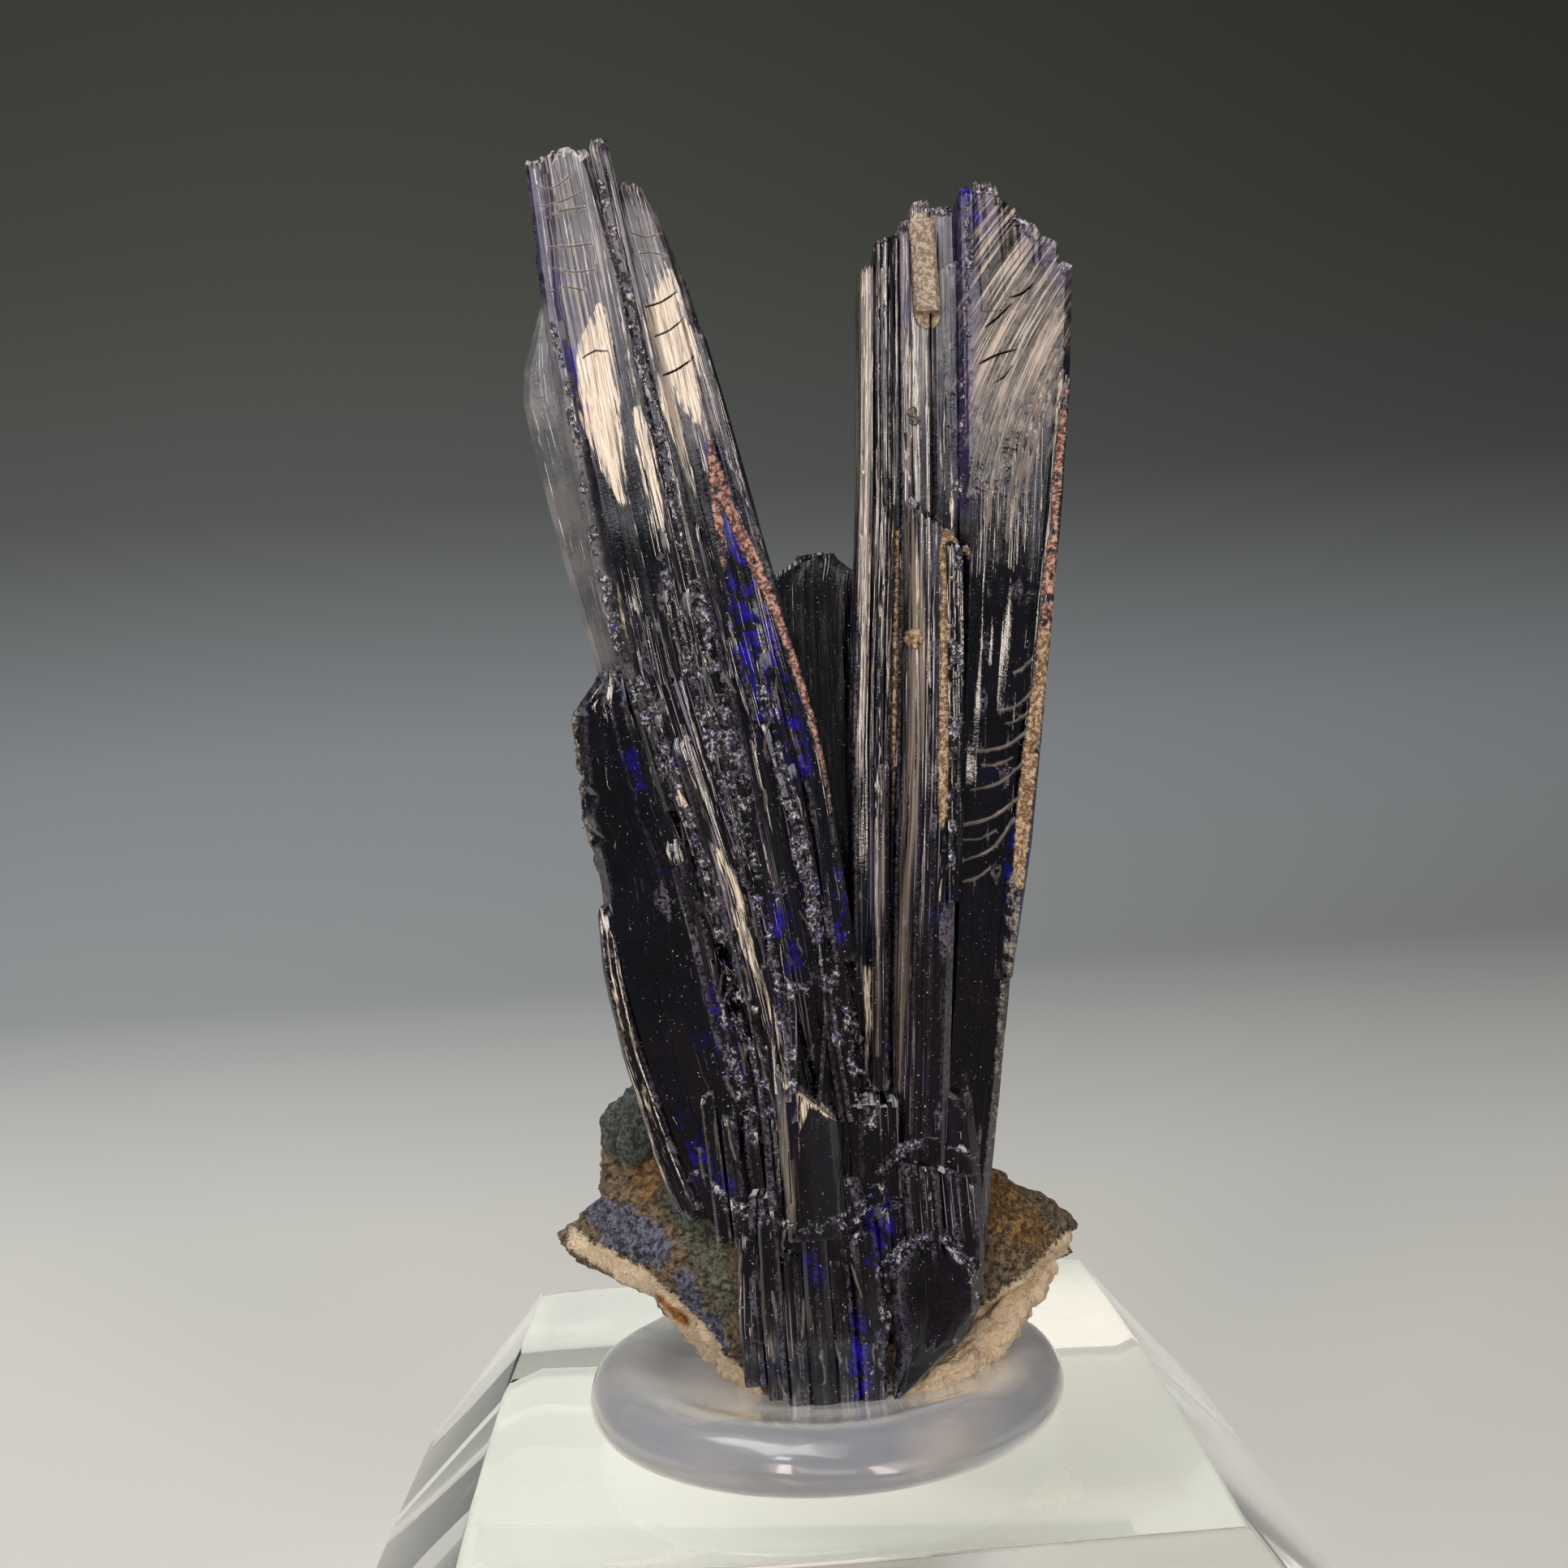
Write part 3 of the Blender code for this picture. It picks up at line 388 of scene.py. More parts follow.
        ((-7.2, 46.0, 0.8), (-6.6, 41.0, 1.3), (-5.6, 34.0, 1.6), (-4.4, 29.0, 1.2)),
        ((8.2, 49.0, 1.2), (7.4, 44.0, 1.4), (6.5, 37.0, 1.3), (5.6, 31.0, 1.0)),
        ((3.9, 24.0, 1.6), (3.6, 22.0, 1.5), (2.8, 20.4, 0.8)),
    ),
    # The low front face of the small prism and the flat face beside it.
    "slate": (
        ((0.2, 30.4, 0.75), (0.3, 28.0, 0.7), (0.3, 26.2, 0.7)),
    ),
    # Where the growth lines stand close together.
    "lined": (
        ((-2.9, 23.4, 1.0), (-1.6, 22.4, 1.1)),
        ((3.4, 26.8, 0.9), (5.4, 26.8, 1.0)),
        ((4.6, 61.0, 1.0), (4.0, 50.0, 1.4), (3.4, 38.0, 1.2), (3.0, 30.0, 0.8)),
        ((5.6, 58.0, 0.8), (5.4, 48.0, 0.8), (4.6, 38.0, 0.8)),
        ((-5.0, 50.0, 1.0), (-2.6, 42.0, 1.4), (-1.0, 34.0, 1.2)),
    ),
}
# Guessed finishes and painted light of the back, which the photo doesn't show.
BACK_STROKES = {
    "druse": (
        ((-6.4, 64.0, 0.2), (-5.4, 58.0, 0.3), (-4.2, 52.0, 0.24), (-3.0, 45.0, 0.34), (-1.4, 38.0, 0.3)),
        ((-4.0, 55.0, 0.16), (-2.2, 47.0, 0.26), (-0.4, 39.0, 0.3), (0.6, 32.0, 0.3)),
        ((7.4, 62.0, 0.2), (7.0, 54.0, 0.26), (6.2, 46.0, 0.24), (5.0, 36.0, 0.3)),
    ),
    "salmon": (
        ((10.7, 56.0, 0.2), (10.0, 50.0, 0.3), (9.2, 45.0, 0.3)),
    ),
    "tan": (
        ((4.6, 52.0, 0.2), (4.2, 46.0, 0.26), (3.8, 41.0, 0.16)),
    ),
    "cream_reflection": (
        ((-3.6, 58.0, 0.3), (-3.0, 54.0, 0.5), (-2.3, 51.0, 0.16)),
        ((8.9, 60.0, 0.3), (8.6, 55.0, 0.36), (8.2, 51.0, 0.1)),
    ),
    "blue": (
        ((-2.4, 48.0, 0.5), (-1.2, 42.0, 0.6), (-0.2, 37.0, 0.4)),
        ((7.6, 44.0, 0.4), (6.9, 38.0, 0.6), (6.4, 33.0, 0.4)),
    ),
    "glass": (
        ((-6.9, 66.0, 1.2), (-6.2, 60.0, 1.2), (-5.0, 55.0, 0.7)),
    ),
    "fan": (
        ((9.6, 62.0, 1.8), (9.2, 57.0, 1.6), (8.6, 53.0, 0.7)),
    ),
}
# Raised ridges on the front: half width, height, then points (x, z), in mm.
RIDGES = (
    # Growth steps across the top of the left blade.
    (0.035, 0.07, ((-8.2, 65.35), (-7.62, 65.13), (-6.9, 65.6))),
    (0.03, 0.06, ((-8.1, 64.57), (-7.35, 64.64), (-6.5, 64.98))),
    (0.04, 0.08, ((-7.95, 64.1), (-7.4, 64.3), (-6.42, 64.39))),
    (0.04, 0.08, ((-7.95, 63.08), (-7.16, 63.0), (-6.27, 63.05))),
    (0.03, 0.06, ((-7.8, 62.3), (-7.07, 62.06), (-6.18, 62.1))),
    (0.04, 0.08, ((-7.95, 61.45), (-7.4, 61.55), (-6.6, 61.35))),
    (0.03, 0.06, ((-4.9, 63.5), (-4.3, 63.25), (-3.7, 63.4))),
    (0.03, 0.06, ((-4.9, 62.6), (-4.2, 62.7), (-3.5, 62.5))),
    # Feathery ridges that sweep down and left from the right crust of the broad blade.
    (0.03, 0.06, ((9.2, 46.9), (8.8, 46.45), (8.5, 46.4))),
    (0.03, 0.07, ((9.15, 45.7), (8.6, 45.15), (7.9, 45.0))),
    (0.02, 0.05, ((8.95, 44.9), (8.5, 44.55), (8.1, 44.5))),
    (0.04, 0.09, ((9.0, 44.3), (8.1, 43.65), (6.9, 43.5))),
    (0.02, 0.05, ((8.3, 43.2), (7.6, 42.95), (7.1, 43.0))),
    (0.03, 0.08, ((8.75, 43.1), (7.8, 42.3), (6.6, 42.05))),
    (0.04, 0.09, ((8.5, 41.75), (7.4, 41.0), (6.1, 40.75))),
    (0.02, 0.06, ((7.5, 40.5), (6.9, 40.2), (6.2, 40.2))),
    (0.03, 0.07, ((8.2, 40.9), (7.3, 39.8), (6.1, 39.4))),
    (0.03, 0.06, ((7.2, 39.1), (6.6, 38.7), (5.9, 38.65))),
)
# Areas with loose bright hairlines: how many, then left, right, low and high in mm. They keep a gap.
HAIRLINES = (
    (22, -3.2, 2.0, 19.8, 26.0),
    (24, -4.6, 0.6, 27.5, 38.0),
    (20, -4.4, 0.4, 38.0, 48.0),
)
HAIRLINE_GAP = 0.4
# The fan's lines curl to the right above its foot. Its ridges begin between two x and end below its top.
FAN_CURL = 0.034
FAN_FOOT = 50.0
FAN_START = 3.6
FAN_END = 10.6
FAN_TOP = 61.6
# Bars on the surface, in mm: how deep a ridge is rooted, how far a crack's cutter stands out, how far
# a bar's points may lie from its middle depth, the share of its width at the ends, its fewest stations.
RIDGE_ROOT = 0.25
CUTTER_TOP = 0.3
BAR_RANGE = 0.5
BAR_END = 0.35
FEWEST_STATIONS = 3
# Cracks cut into the cream patches and the fan, and painted dark inside: half width, depth, then points (x,
# z), in mm.
CRACKS = (
    (0.035, 0.16, ((-4.5, 60.7), (-3.87, 60.85), (-3.3, 61.2))),
    (0.03, 0.16, ((-4.2, 59.6), (-3.63, 59.8), (-3.1, 60.2))),
    (0.04, 0.16, ((-4.0, 58.15), (-3.43, 58.35), (-2.8, 58.75))),
    (0.03, 0.14, ((-6.9, 58.9), (-6.4, 59.15), (-5.95, 59.1))),
    (0.04, 0.2, ((9.2, 60.45), (9.7, 60.6), (10.1, 60.95))),
    (0.04, 0.2, ((8.2, 59.4), (8.7, 59.75), (9.2, 60.2))),
    (0.04, 0.2, ((7.9, 58.05), (8.6, 58.35), (9.3, 58.5))),
    (0.03, 0.16, ((8.4, 57.3), (8.8, 57.5), (9.1, 57.9))),
)

# Grains set along a stroke: how many per square mm, smallest and largest size in mm.
GRAINS = {
    "druse": (7.0, 0.07, 0.25),
    "salmon": (6.5, 0.1, 0.2),
    "tan": (5.5, 0.1, 0.2),
    "grit": (7.0, 0.09, 0.17),
}
# The range of a grain's random turns, in radians.
FULL_TURN = 6.283
# How far grains may lie from the middle plane, and where rays that look for a surface start, in mm.
GRAIN_REACH = 5.5
OUTSIDE = 40.0
# Thin needles that lie on the left spray: how many, tries to place them, lengths and widths in mm.
NEEDLES = 46
NEEDLE_TRIES = 2000
NEEDLE_LENGTH = (2.2, 8.5)
NEEDLE_WIDTH = (0.16, 0.42)

# Left and right edges of the left spray's front, as (z, left x, right x).
SPRAY_EDGES = (
    (53.0, -6.6, -1.2), (47.0, -5.8, -0.2), (42.0, -4.6, 0.9), (38.0, -3.6, 1.2), (34.0, -2.9, 1.2),
    (30.0, -2.4, 0.4), (26.0, -2.2, 0.2),
)

# Finishes of the rock, as strokes on the front.
ROCK_STROKES = {
    "rim": (
        ((-9.6, 25.3, 0.3), (-8.3, 24.9, 0.45), (-7.0, 24.1, 0.5), (-5.9, 22.9, 0.6), (-5.0, 21.6, 0.7),
         (-4.0, 20.3, 0.7), (-3.2, 19.4, 0.6)),
        ((1.8, 18.9, 0.9), (3.2, 19.3, 1.2), (4.8, 20.3, 1.25), (6.5, 21.5, 1.1), (8.2, 22.7, 0.8),
         (9.7, 23.9, 0.4)),
    ),
    "green": (
        ((-5.2, 26.9, 0.5), (-4.4, 25.4, 0.7), (-4.0, 23.6, 0.5), (-4.2, 22.2, 0.3)),
    ),
    "azure": (
        ((-8.8, 26.6, 0.4), (-7.6, 26.0, 0.9), (-6.5, 25.4, 0.7)),
        ((-5.4, 24.4, 0.4), (-4.9, 23.0, 0.5), (-4.2, 21.6, 0.4)),
    ),
    "ochre": (
        ((-7.2, 28.6, 0.5), (-6.3, 27.6, 0.7), (-5.6, 28.4, 0.4)),
        ((6.6, 26.4, 0.7), (7.8, 25.2, 0.8), (8.6, 24.4, 0.5)),
    ),
    "slate": (
        ((-7.4, 31.0, 1.4), (-7.2, 29.4, 1.2)),
    ),
    "skin": (
        ((-5.8, 27.3, 0.6), (-4.2, 26.4, 0.8), (-2.8, 26.0, 0.6)),
    ),
    "amber": (
        ((-6.3, 23.3, 0.2), (-5.9, 22.7, 0.34), (-5.5, 22.2, 0.24)),
    ),
}
ROCK_BACK_STROKES = {
    "rim": (
        ((-8.0, 24.0, 0.6), (-4.0, 20.6, 0.8), (0.0, 19.2, 0.8), (4.0, 20.6, 0.8), (8.6, 23.4, 0.6)),
    ),
    "green": (
        ((-3.0, 26.4, 0.8), (-1.0, 25.2, 0.9)),
    ),
    "azure": (
        ((2.6, 25.6, 0.9), (5.0, 24.8, 0.8)),
    ),
    "ochre": (
        ((-6.4, 26.0, 0.9), (-4.6, 24.2, 0.6)),
    ),
    "slate": (
        ((-7.4, 31.0, 1.6), (-7.2, 29.4, 1.4)),
    ),
}
# Points round the rock and its lip, and rows between two rows of their tables.
ROCK_AROUND = 260
ROCK_ROWS_BETWEEN = 7
LIP_AROUND = 48
LIP_ROWS = 9

# The putty disc: centre, stretch from front to back and steps of the turning.
TACK_CENTRE = (-0.1, -0.6)
TACK_STRETCH = 1.1
TACK_STEPS = 64
# Its dents begin at a height and reach their depth over a rise, in mm; so many dents to the mm.
DENTS_FROM = 18.6
DENTS_OVER = 0.8
DENTS_PER_MM = 0.2
# Its turned profile as (radius, z) in mm.
TACK_PROFILE = (
    (0.0, 19.6), (3.2, 19.62), (4.6, 19.7), (5.8, 19.95), (6.7, 20.35), (7.6, 20.6), (8.4, 20.45),
    (9.05, 20.0), (9.3, 19.3), (9.1, 18.65), (8.5, 18.3), (4.0, 18.3), (0.0, 18.3),
)

# The stage's paper sweep, in mm: ends and level of its floor, radius of its bend, top and half width.
SWEEP_FRONT = -320.0
SWEEP_BACK = 250.0
SWEEP_LEVEL = -0.05
SWEEP_BEND = 260.0
SWEEP_BEND_STEPS = 24
SWEEP_TOP = 1100.0
SWEEP_HALF = 1400.0
# Its tones, at shares of a way up the sweep in mm, and the tone at the end of that way.
SWEEP_WAY = 900.0
SWEEP_TONES = (
    (0.11, "#dfe0dc"), (0.276, "#a8adb1"), (0.487, "#90979d"), (0.67, "#5b5f5f"), (0.83, "#494c46"),
)
SWEEP_END = "#3d3e38"

# The photo's camera, as measured: pitch, roll and yaw in degrees, place in metres, lens and sensor in mm.
CAMERA_TURNS = (2.54, -3.45, 1.63)
CAMERA_PLACE = (-0.00249, -0.07582, 0.04598)
CAMERA_LENS = 44.72
CAMERA_SENSOR = 36.0


def station_rows(outline, step):
    """Cut an outline of (z, left, right) rows into evenly spaced rows."""
    rows = [outline[0]]
    for upper, lower in zip(outline, outline[1:]):
        count = max(1, int(round((upper[0] - lower[0]) / step)))
        for i in range(1, count + 1):
            share = i / count
            rows.append(tuple(a + (b - a) * share for a, b in zip(upper, lower)))
    return rows


def flutes(rng, width, pitch, depth):
    """Flutes across a face: (start, end, depth at the start, depth at the end, seed, drop at the tip)."""
    count = max(1, int(round(width / pitch)))
    marks = [0.0] + [(i + rng.uniform(-0.38, 0.38)) / count for i in range(1, count)] + [1.0]
    made = []
    for start, end in zip(marks, marks[1:]):
        base = rng.random() ** 1.5 * depth
        lean = rng.uniform(-0.8, 0.8) * depth
        deep_start = base + max(lean, 0.0)
        deep_end = base + max(-lean, 0.0)
        made.append((start, end, deep_start, deep_end, rng.uniform(0, 99), rng.random() ** 2))
    return made


def edges_at(outline, z):
    """Left and right x of an outline at a height."""
    if z >= outline[0][0]:
        return outline[0][1], outline[0][2]
    for upper, lower in zip(outline, outline[1:]):
        if z >= lower[0]:
            share = (upper[0] - z) / (upper[0] - lower[0])
            return upper[1] + (lower[1] - upper[1]) * share, upper[2] + (lower[2] - upper[2]) * share
    return outline[-1][1], outline[-1][2]


def skin(bm, rings):
    """Close rings of verts into a solid, with faces from ring to ring and across both ends."""
    count = len(rings[0])
    for upper, lower in zip(rings, rings[1:]):
        for i in range(count):
            j = (i + 1) % count
            bm.faces.new((upper[i], upper[j], lower[j], lower[i]))
    bm.faces.new(rings[0])
    bm.faces.new(list(reversed(rings[-1])))


def crystal_mesh(row, work, step):
    """One crystal in mm, with its faces cut into lengthwise flutes and a broken tip."""
    name, front_tip, front_foot, back, rise, tip, outline = row
    pitch, depth, jag, ragged = work
    rng = random.Random(name)
    z_top = outline[0][0]
    z_foot = outline[-1][0]
    widest = max(right - left for _, left, right in outline)
    thick = back - min(front_tip, front_foot)
    jag = min(jag, JAG_SHARE * widest)
    # Front, right, back and left faces, in the order their points run round the ring.
    faces = [
        flutes(rng, widest, pitch, depth),
        flutes(rng, thick, pitch * SIDE_PITCH, depth * SIDE_DEPTH),
        flutes(rng, widest, pitch * REAR_PITCH, depth),
        flutes(rng, thick, pitch * SIDE_PITCH, depth * SIDE_DEPTH),
    ]
    rows = station_rows(outline, step)
    clear = z_top - 0.5 * abs(rise) - jag - TIP_CLEAR
    rows = [rows[0]] + [entry for entry in rows[1:] if entry[0] < clear]
    edge_seed = rng.uniform(0.0, 50.0)

    def ring(z, left, right, inset, lift, jagged):
        """The points round the crystal at a height, in order, as (x, y, z)."""
        share = (z_top - z) / (z_top - z_foot)
        front = front_tip + (front_foot - front_tip) * share + inset
        rear = back - inset
        if ragged and not jagged:
            bite = noise.noise(Vector((edge_seed, 0.0, z * 1.3)))
            bite += 0.6 * noise.noise(Vector((edge_seed, 7.0, z * 3.9)))
            left = left + ragged * max(0.0, bite)
            right = right - 0.4 * ragged * max(0.0, noise.noise(Vector((edge_seed, 20.0, z * 1.1))))
        cut = min(CORNER_SHARE * min(right - left, rear - front), CORNER_MAX)
        left += inset
        right -= inset
        corners = (
            ((left + cut, front), (right - cut, front), (0.0, 1.0)),
            ((right, front + cut), (right, rear - cut), (-1.0, 0.0)),
            ((right - cut, rear), (left + cut, rear), (0.0, -1.0)),
            ((left, rear - cut), (left, front + cut), (1.0, 0.0)),
        )
        points = []
        middle = 0.5 * (left + right)
        for (begin, finish, inward), cuts in zip(corners, faces):
            for start, end, deep_a, deep_b, seed, drop in cuts:
                wave = 0.65 + 0.7 * noise.noise(Vector((seed, 0.0, z * 0.16)))
                gap = FLUTE_GAP * (end - start)
                for at, deep in ((start + gap, deep_a), (end - gap, deep_b)):
                    x = begin[0] + (finish[0] - begin[0]) * at
                    y = begin[1] + (finish[1] - begin[1]) * at
                    swell = 0.5 + 0.5 * noise.noise(Vector((edge_seed + x * 0.7, z * 0.45, 3.0)))
                    off = max(0.0, deep * wave) + min(FACE_WAVE, 0.04 * widest) * swell
                    height = z
                    if jagged:
                        height = z + lift + rise * (x - middle) / max(right - left, 0.1) - jag * drop
                    points.append((x + inward[0] * off, y + inward[1] * off, height))
        return points

    bm = bmesh.new()
    first = rows[0]
    inset = TIP_INSET * min(first[2] - first[1], back - front_tip)
    rings = [ring(*first, inset, tip, True), ring(*first, 0.0, 0.0, True)]
    for entry in rows[1:]:
        rings.append(ring(*entry, 0.0, 0.0, False))
    flow = bm.loops.layers.uv.new("flow")
    skin(bm, [[bm.verts.new(point) for point in points] for points in rings])
    bmesh.ops.recalc_face_normals(bm, faces=bm.faces)
    # The flow map runs across and along the crystal, in mm, so that growth lines follow it.
    spread = rng.uniform(0.0, 40.0)
    for face in bm.faces:
        sideways = abs(face.normal.x) > abs(face.normal.y)
        for loop in face.loops:
            left, right = edges_at(outline, loop.vert.co.z)
            across = loop.vert.co.y if sideways else loop.vert.co.x - 0.5 * (left + right)
            loop[flow].uv = (across + spread, loop.vert.co.z)
    return bm


def add_grain(bm, flow, centre, size, rng):
    """Add one small eight-sided crystal, turned at random."""
    turn = Matrix.Rotation(rng.uniform(0.0, FULL_TURN), 3, "X")
    turn = turn @ Matrix.Rotation(rng.uniform(0.0, FULL_TURN), 3, "Z")
    reach = [size * rng.uniform(0.55, 1.0) for _ in range(3)]
    ends = []
    for axis in range(3):
        for sign in (1.0, -1.0):
            arm = Vector((0.0, 0.0, 0.0))
            arm[axis] = sign * reach[axis]
            ends.append(bm.verts.new(centre + turn @ arm))
    for a in (0, 1):
        for b in (2, 3):
            for c in (4, 5):
                corner = (ends[a], ends[b], ends[c])
                face = bm.faces.new(corner if (a + b + c) % 2 == 0 else corner[::-1])
                for loop in face.loops:
                    loop[flow].uv = (loop.vert.co.x, loop.vert.co.z)


def surface_tree(piece):
    """A search tree of a piece's faces, for finding where its surface is."""
    places = [vert.co for vert in piece.data.vertices]
    return BVHTree.FromPolygons(places, [face.vertices for face in piece.data.polygons])


def surface_y(tree, x, z, side):
    """The y of the surface at (x, z) seen from the front (side -1) or the back (side 1), in mm."""
    hit = tree.ray_cast(Vector((x, side * OUTSIDE, z)) * MM, Vector((0.0, -side, 0.0)))[0]
    return None if hit is None else hit.y / MM


def along(points, share):
    """The point of a stroke at a share of its length: x, z and half width."""
    lengths = [math.dist(a[:2], b[:2]) for a, b in zip(points, points[1:])]
    left = share * sum(lengths)
    for (a, b), length_here in zip(zip(points, points[1:]), lengths):
        if left <= length_here:
            part = left / max(length_here, 0.0001)
            return tuple(p + (q - p) * part for p, q in zip(a, b))
        left -= length_here
    return points[-1]


def scatter_grains(tree, strokes, side, rng):
    """Grains for the crusty strokes, as (centre, size), set half into the surface."""
    made = []
    crusty = [
        (GRAINS[finish], points)
        for finish, lines in strokes.items() if finish in GRAINS
        for points in lines
    ]
    for (density, smallest, largest), points in crusty:
        area = sum(math.dist(a[:2], b[:2]) * (a[2] + b[2]) for a, b in zip(points, points[1:]))
        for _ in range(max(3, int(area * density))):
            x, z, half = along(points, rng.random())
            x += rng.gauss(0.0, 0.5) * half
            z += rng.gauss(0.0, 0.5) * half
            if noise.noise(Vector((x * 1.3, z * 0.9, 5.0))) < -0.02:
                continue
            y = surface_y(tree, x, z, side)
            size = rng.uniform(smallest, largest)
            if y is not None and abs(y) < GRAIN_REACH:
                made.append((Vector((x, y, z)), size))
    return made


def grain_batches(grains):
    """Share grains out over batches in which none touches another, so each batch is a sound solid."""
    batches = []
    for centre, size in grains:
        for batch in batches:
            if all((centre - other).length > size + far + 0.02 for other, far in batch):
                batch.append((centre, size))
                break
        else:
            batches.append([(centre, size)])
    return batches


def grain_objects(grains, rng, made_material):
    """One object for each batch of grains."""
    made = []
    for batch in grain_batches(grains):
        bm = bmesh.new()
        flow = bm.loops.layers.uv.new("flow")
        for centre, size in batch:
            add_grain(bm, flow, centre, size, rng)
        bmesh.ops.recalc_face_normals(bm, faces=bm.faces)
        made.append(object_from("grains", bm, made_material))
    return made


def fan_ridges(rng):
    """Ridges that rise on the broad right blade and curl to the right, in the form of RIDGES."""
    outline = {row[0]: row[-1] for row in CRYSTALS}["right_broad"]
    made = []
    start = FAN_START
    while start < FAN_END:
        start += rng.uniform(0.26, 0.5)
        low = rng.uniform(51.0, 56.0)
        high = FAN_TOP - rng.random() ** 2 * 3.0
        points = []
        z = low
        while z < high:
            x = start + FAN_CURL * (z - FAN_FOOT) ** 2
            left, right = edges_at(outline, z)
            if left + 0.25 < x < right - 0.2:
                points.append((x, z))
            z += 0.5
        if len(points) > 3:
            made.append((rng.uniform(0.025, 0.06), rng.uniform(0.03, 0.09), tuple(points)))
    return made


def hairlines(rng, taken):
    """Short, slightly bent ridges strewn over HAIRLINES, clear of each other, in the form of RIDGES."""
    made = []
    for count, left, right, low, high in HAIRLINES:
        for _ in range(count):
            x = rng.uniform(left, right)
            z = rng.uniform(low, high)
            reach = rng.uniform(0.25, 0.8)
            lean = rng.gauss(0.1, 0.22)
            points = (
                (x - lean * reach, z + reach),
                (x + rng.uniform(-0.08, 0.08), z),
                (x + lean * reach, z - reach),
            )
            if all(math.dist(a, b) > HAIRLINE_GAP for a in curve_points(points) for b in taken):
                made.append((rng.uniform(0.015, 0.035), rng.uniform(0.04, 0.09), points))
                taken.extend(curve_points(points))
    return made


def curve_points(points):
    """Points about every 0.25 mm along a smooth curve through the given ones."""
    ends = (points[0],) + tuple(points) + (points[-1],)
    made = [points[0]]
    for before, start, end, after in zip(ends, ends[1:], ends[2:], ends[3:]):
        count = max(1, int(math.dist(start, end) / 0.25))
        for i in range(1, count + 1):
            t = i / count
            made.append(tuple(
                0.5 * (
                    2.0 * b + (c - a) * t + (2.0 * a - 5.0 * b + 4.0 * c - d) * t ** 2
                    + (3.0 * b - a - 3.0 * c + d) * t ** 3
                )
                for a, b, c, d in zip(before, start, end, after)
            ))
    return made


def bars_object(name, tree, bars, above, made_material):
    """Thin diamond-section bars laid along points on the front surface, as one object.

    Ridges stand above the surface and reach a little under it; a cutter for cracks does the opposite.
    """
    bm = bmesh.new()
    flow = bm.loops.layers.uv.new("flow")
    for half, reach, points in bars:
        outer, inner = (reach, RIDGE_ROOT) if above else (CUTTER_TOP, reach)
        stations = curve_points(points)
        found = [(x, surface_y(tree, x, z, -1), z) for x, z in stations]
        found = [spot for spot in found if spot[1] is not None]
        if len(found) < FEWEST_STATIONS:
            continue
        middle = sorted(spot[1] for spot in found)[len(found) // 2]
        found = [spot for spot in found if abs(spot[1] - middle) < BAR_RANGE]
        if len(found) < FEWEST_STATIONS:
            continue
        rings = []
        last = len(found) - 1
        for i, (x, y, z) in enumerate(found):
            ahead = found[min(i + 1, last)]
            behind = found[max(i - 1, 0)]
            run = math.dist((ahead[0], ahead[2]), (behind[0], behind[2]))
            wide = half * (BAR_END if i in (0, last) else 1.0)
            aside_x = -(ahead[2] - behind[2]) / run * wide
            aside_z = (ahead[0] - behind[0]) / run * wide
            corners = (
                (x + aside_x, y, z + aside_z), (x, y - outer, z),
                (x - aside_x, y, z - aside_z), (x, y + inner, z),
            )
            rings.append([bm.verts.new(corner) for corner in corners])
        skin(bm, rings)
    bmesh.ops.recalc_face_normals(bm, faces=bm.faces)
    for face in bm.faces:
        for loop in face.loops:
            loop[flow].uv = (loop.vert.co.x, loop.vert.co.z)
    return object_from(name, bm, made_material)


def bar_strokes(bars):
    """Strokes that colour bars laid on the surface."""
    return tuple(tuple((x, z, 1.2 * half) for x, z in curve_points(points)) for half, _, points in bars)


def needle_rows(tree, rng):
    """Rows for thin needles that lie along the left spray, set a little proud of it."""
    made = []
    for _ in range(NEEDLE_TRIES):
        if len(made) == NEEDLES:
            break
        z_top = rng.uniform(30.0, 53.0)
        across = rng.uniform(0.04, 0.96)
        length_here = rng.uniform(*NEEDLE_LENGTH)
        width = rng.uniform(*NEEDLE_WIDTH)
        z_foot = max(27.0, z_top - length_here)
        rows = []
        depth = []
        for z in (z_top, 0.5 * (z_top + z_foot), z_foot):
            left, right = edges_at(SPRAY_EDGES, z)
            x = left + (right - left) * across
            rows.append((z, x - 0.5 * width, x + 0.5 * width))
            depth.append(surface_y(tree, x, z, -1))
        if None in depth or max(depth) > -2.0:
            continue
        proud = rng.uniform(0.04, 0.14)
        rise = rng.uniform(-0.3, 0.3)
        name = "needle_%02d" % len(made)
        made.append((name, depth[0] - proud, depth[2] - proud, max(depth) + 0.8, rise, 0.1, tuple(rows)))
    return made


def object_from(name, bm, made_material):
    """Turn a bmesh in mm into an object in metres with one material."""
    bmesh.ops.scale(bm, vec=(MM, MM, MM), verts=bm.verts)
    mesh = bpy.data.meshes.new(name)
    bm.to_mesh(mesh)
    bm.free()
    mesh.materials.append(made_material)
    item = bpy.data.objects.new(name, mesh)
    bpy.context.scene.collection.objects.link(item)
    return item


def apply_step(item, step):
    """Apply a modifier, and raise an error if it fails or leaves no faces."""
    name = step.name
    bpy.context.view_layer.objects.active = item
    if bpy.ops.object.modifier_apply(modifier=name) != {"FINISHED"} or not item.data.polygons:
        raise RuntimeError(f"{item.name}: the step called {name} left no solid")


def join(first, second, operation="UNION"):
    """Fuse the second object into the first, or cut it out of the first, and drop it."""
    step = first.modifiers.new("join", "BOOLEAN")
    step.operation = operation
    step.solver = "MANIFOLD"
    step.object = second
    apply_step(first, step)
    bpy.data.objects.remove(second, do_unlink=True)
    return first


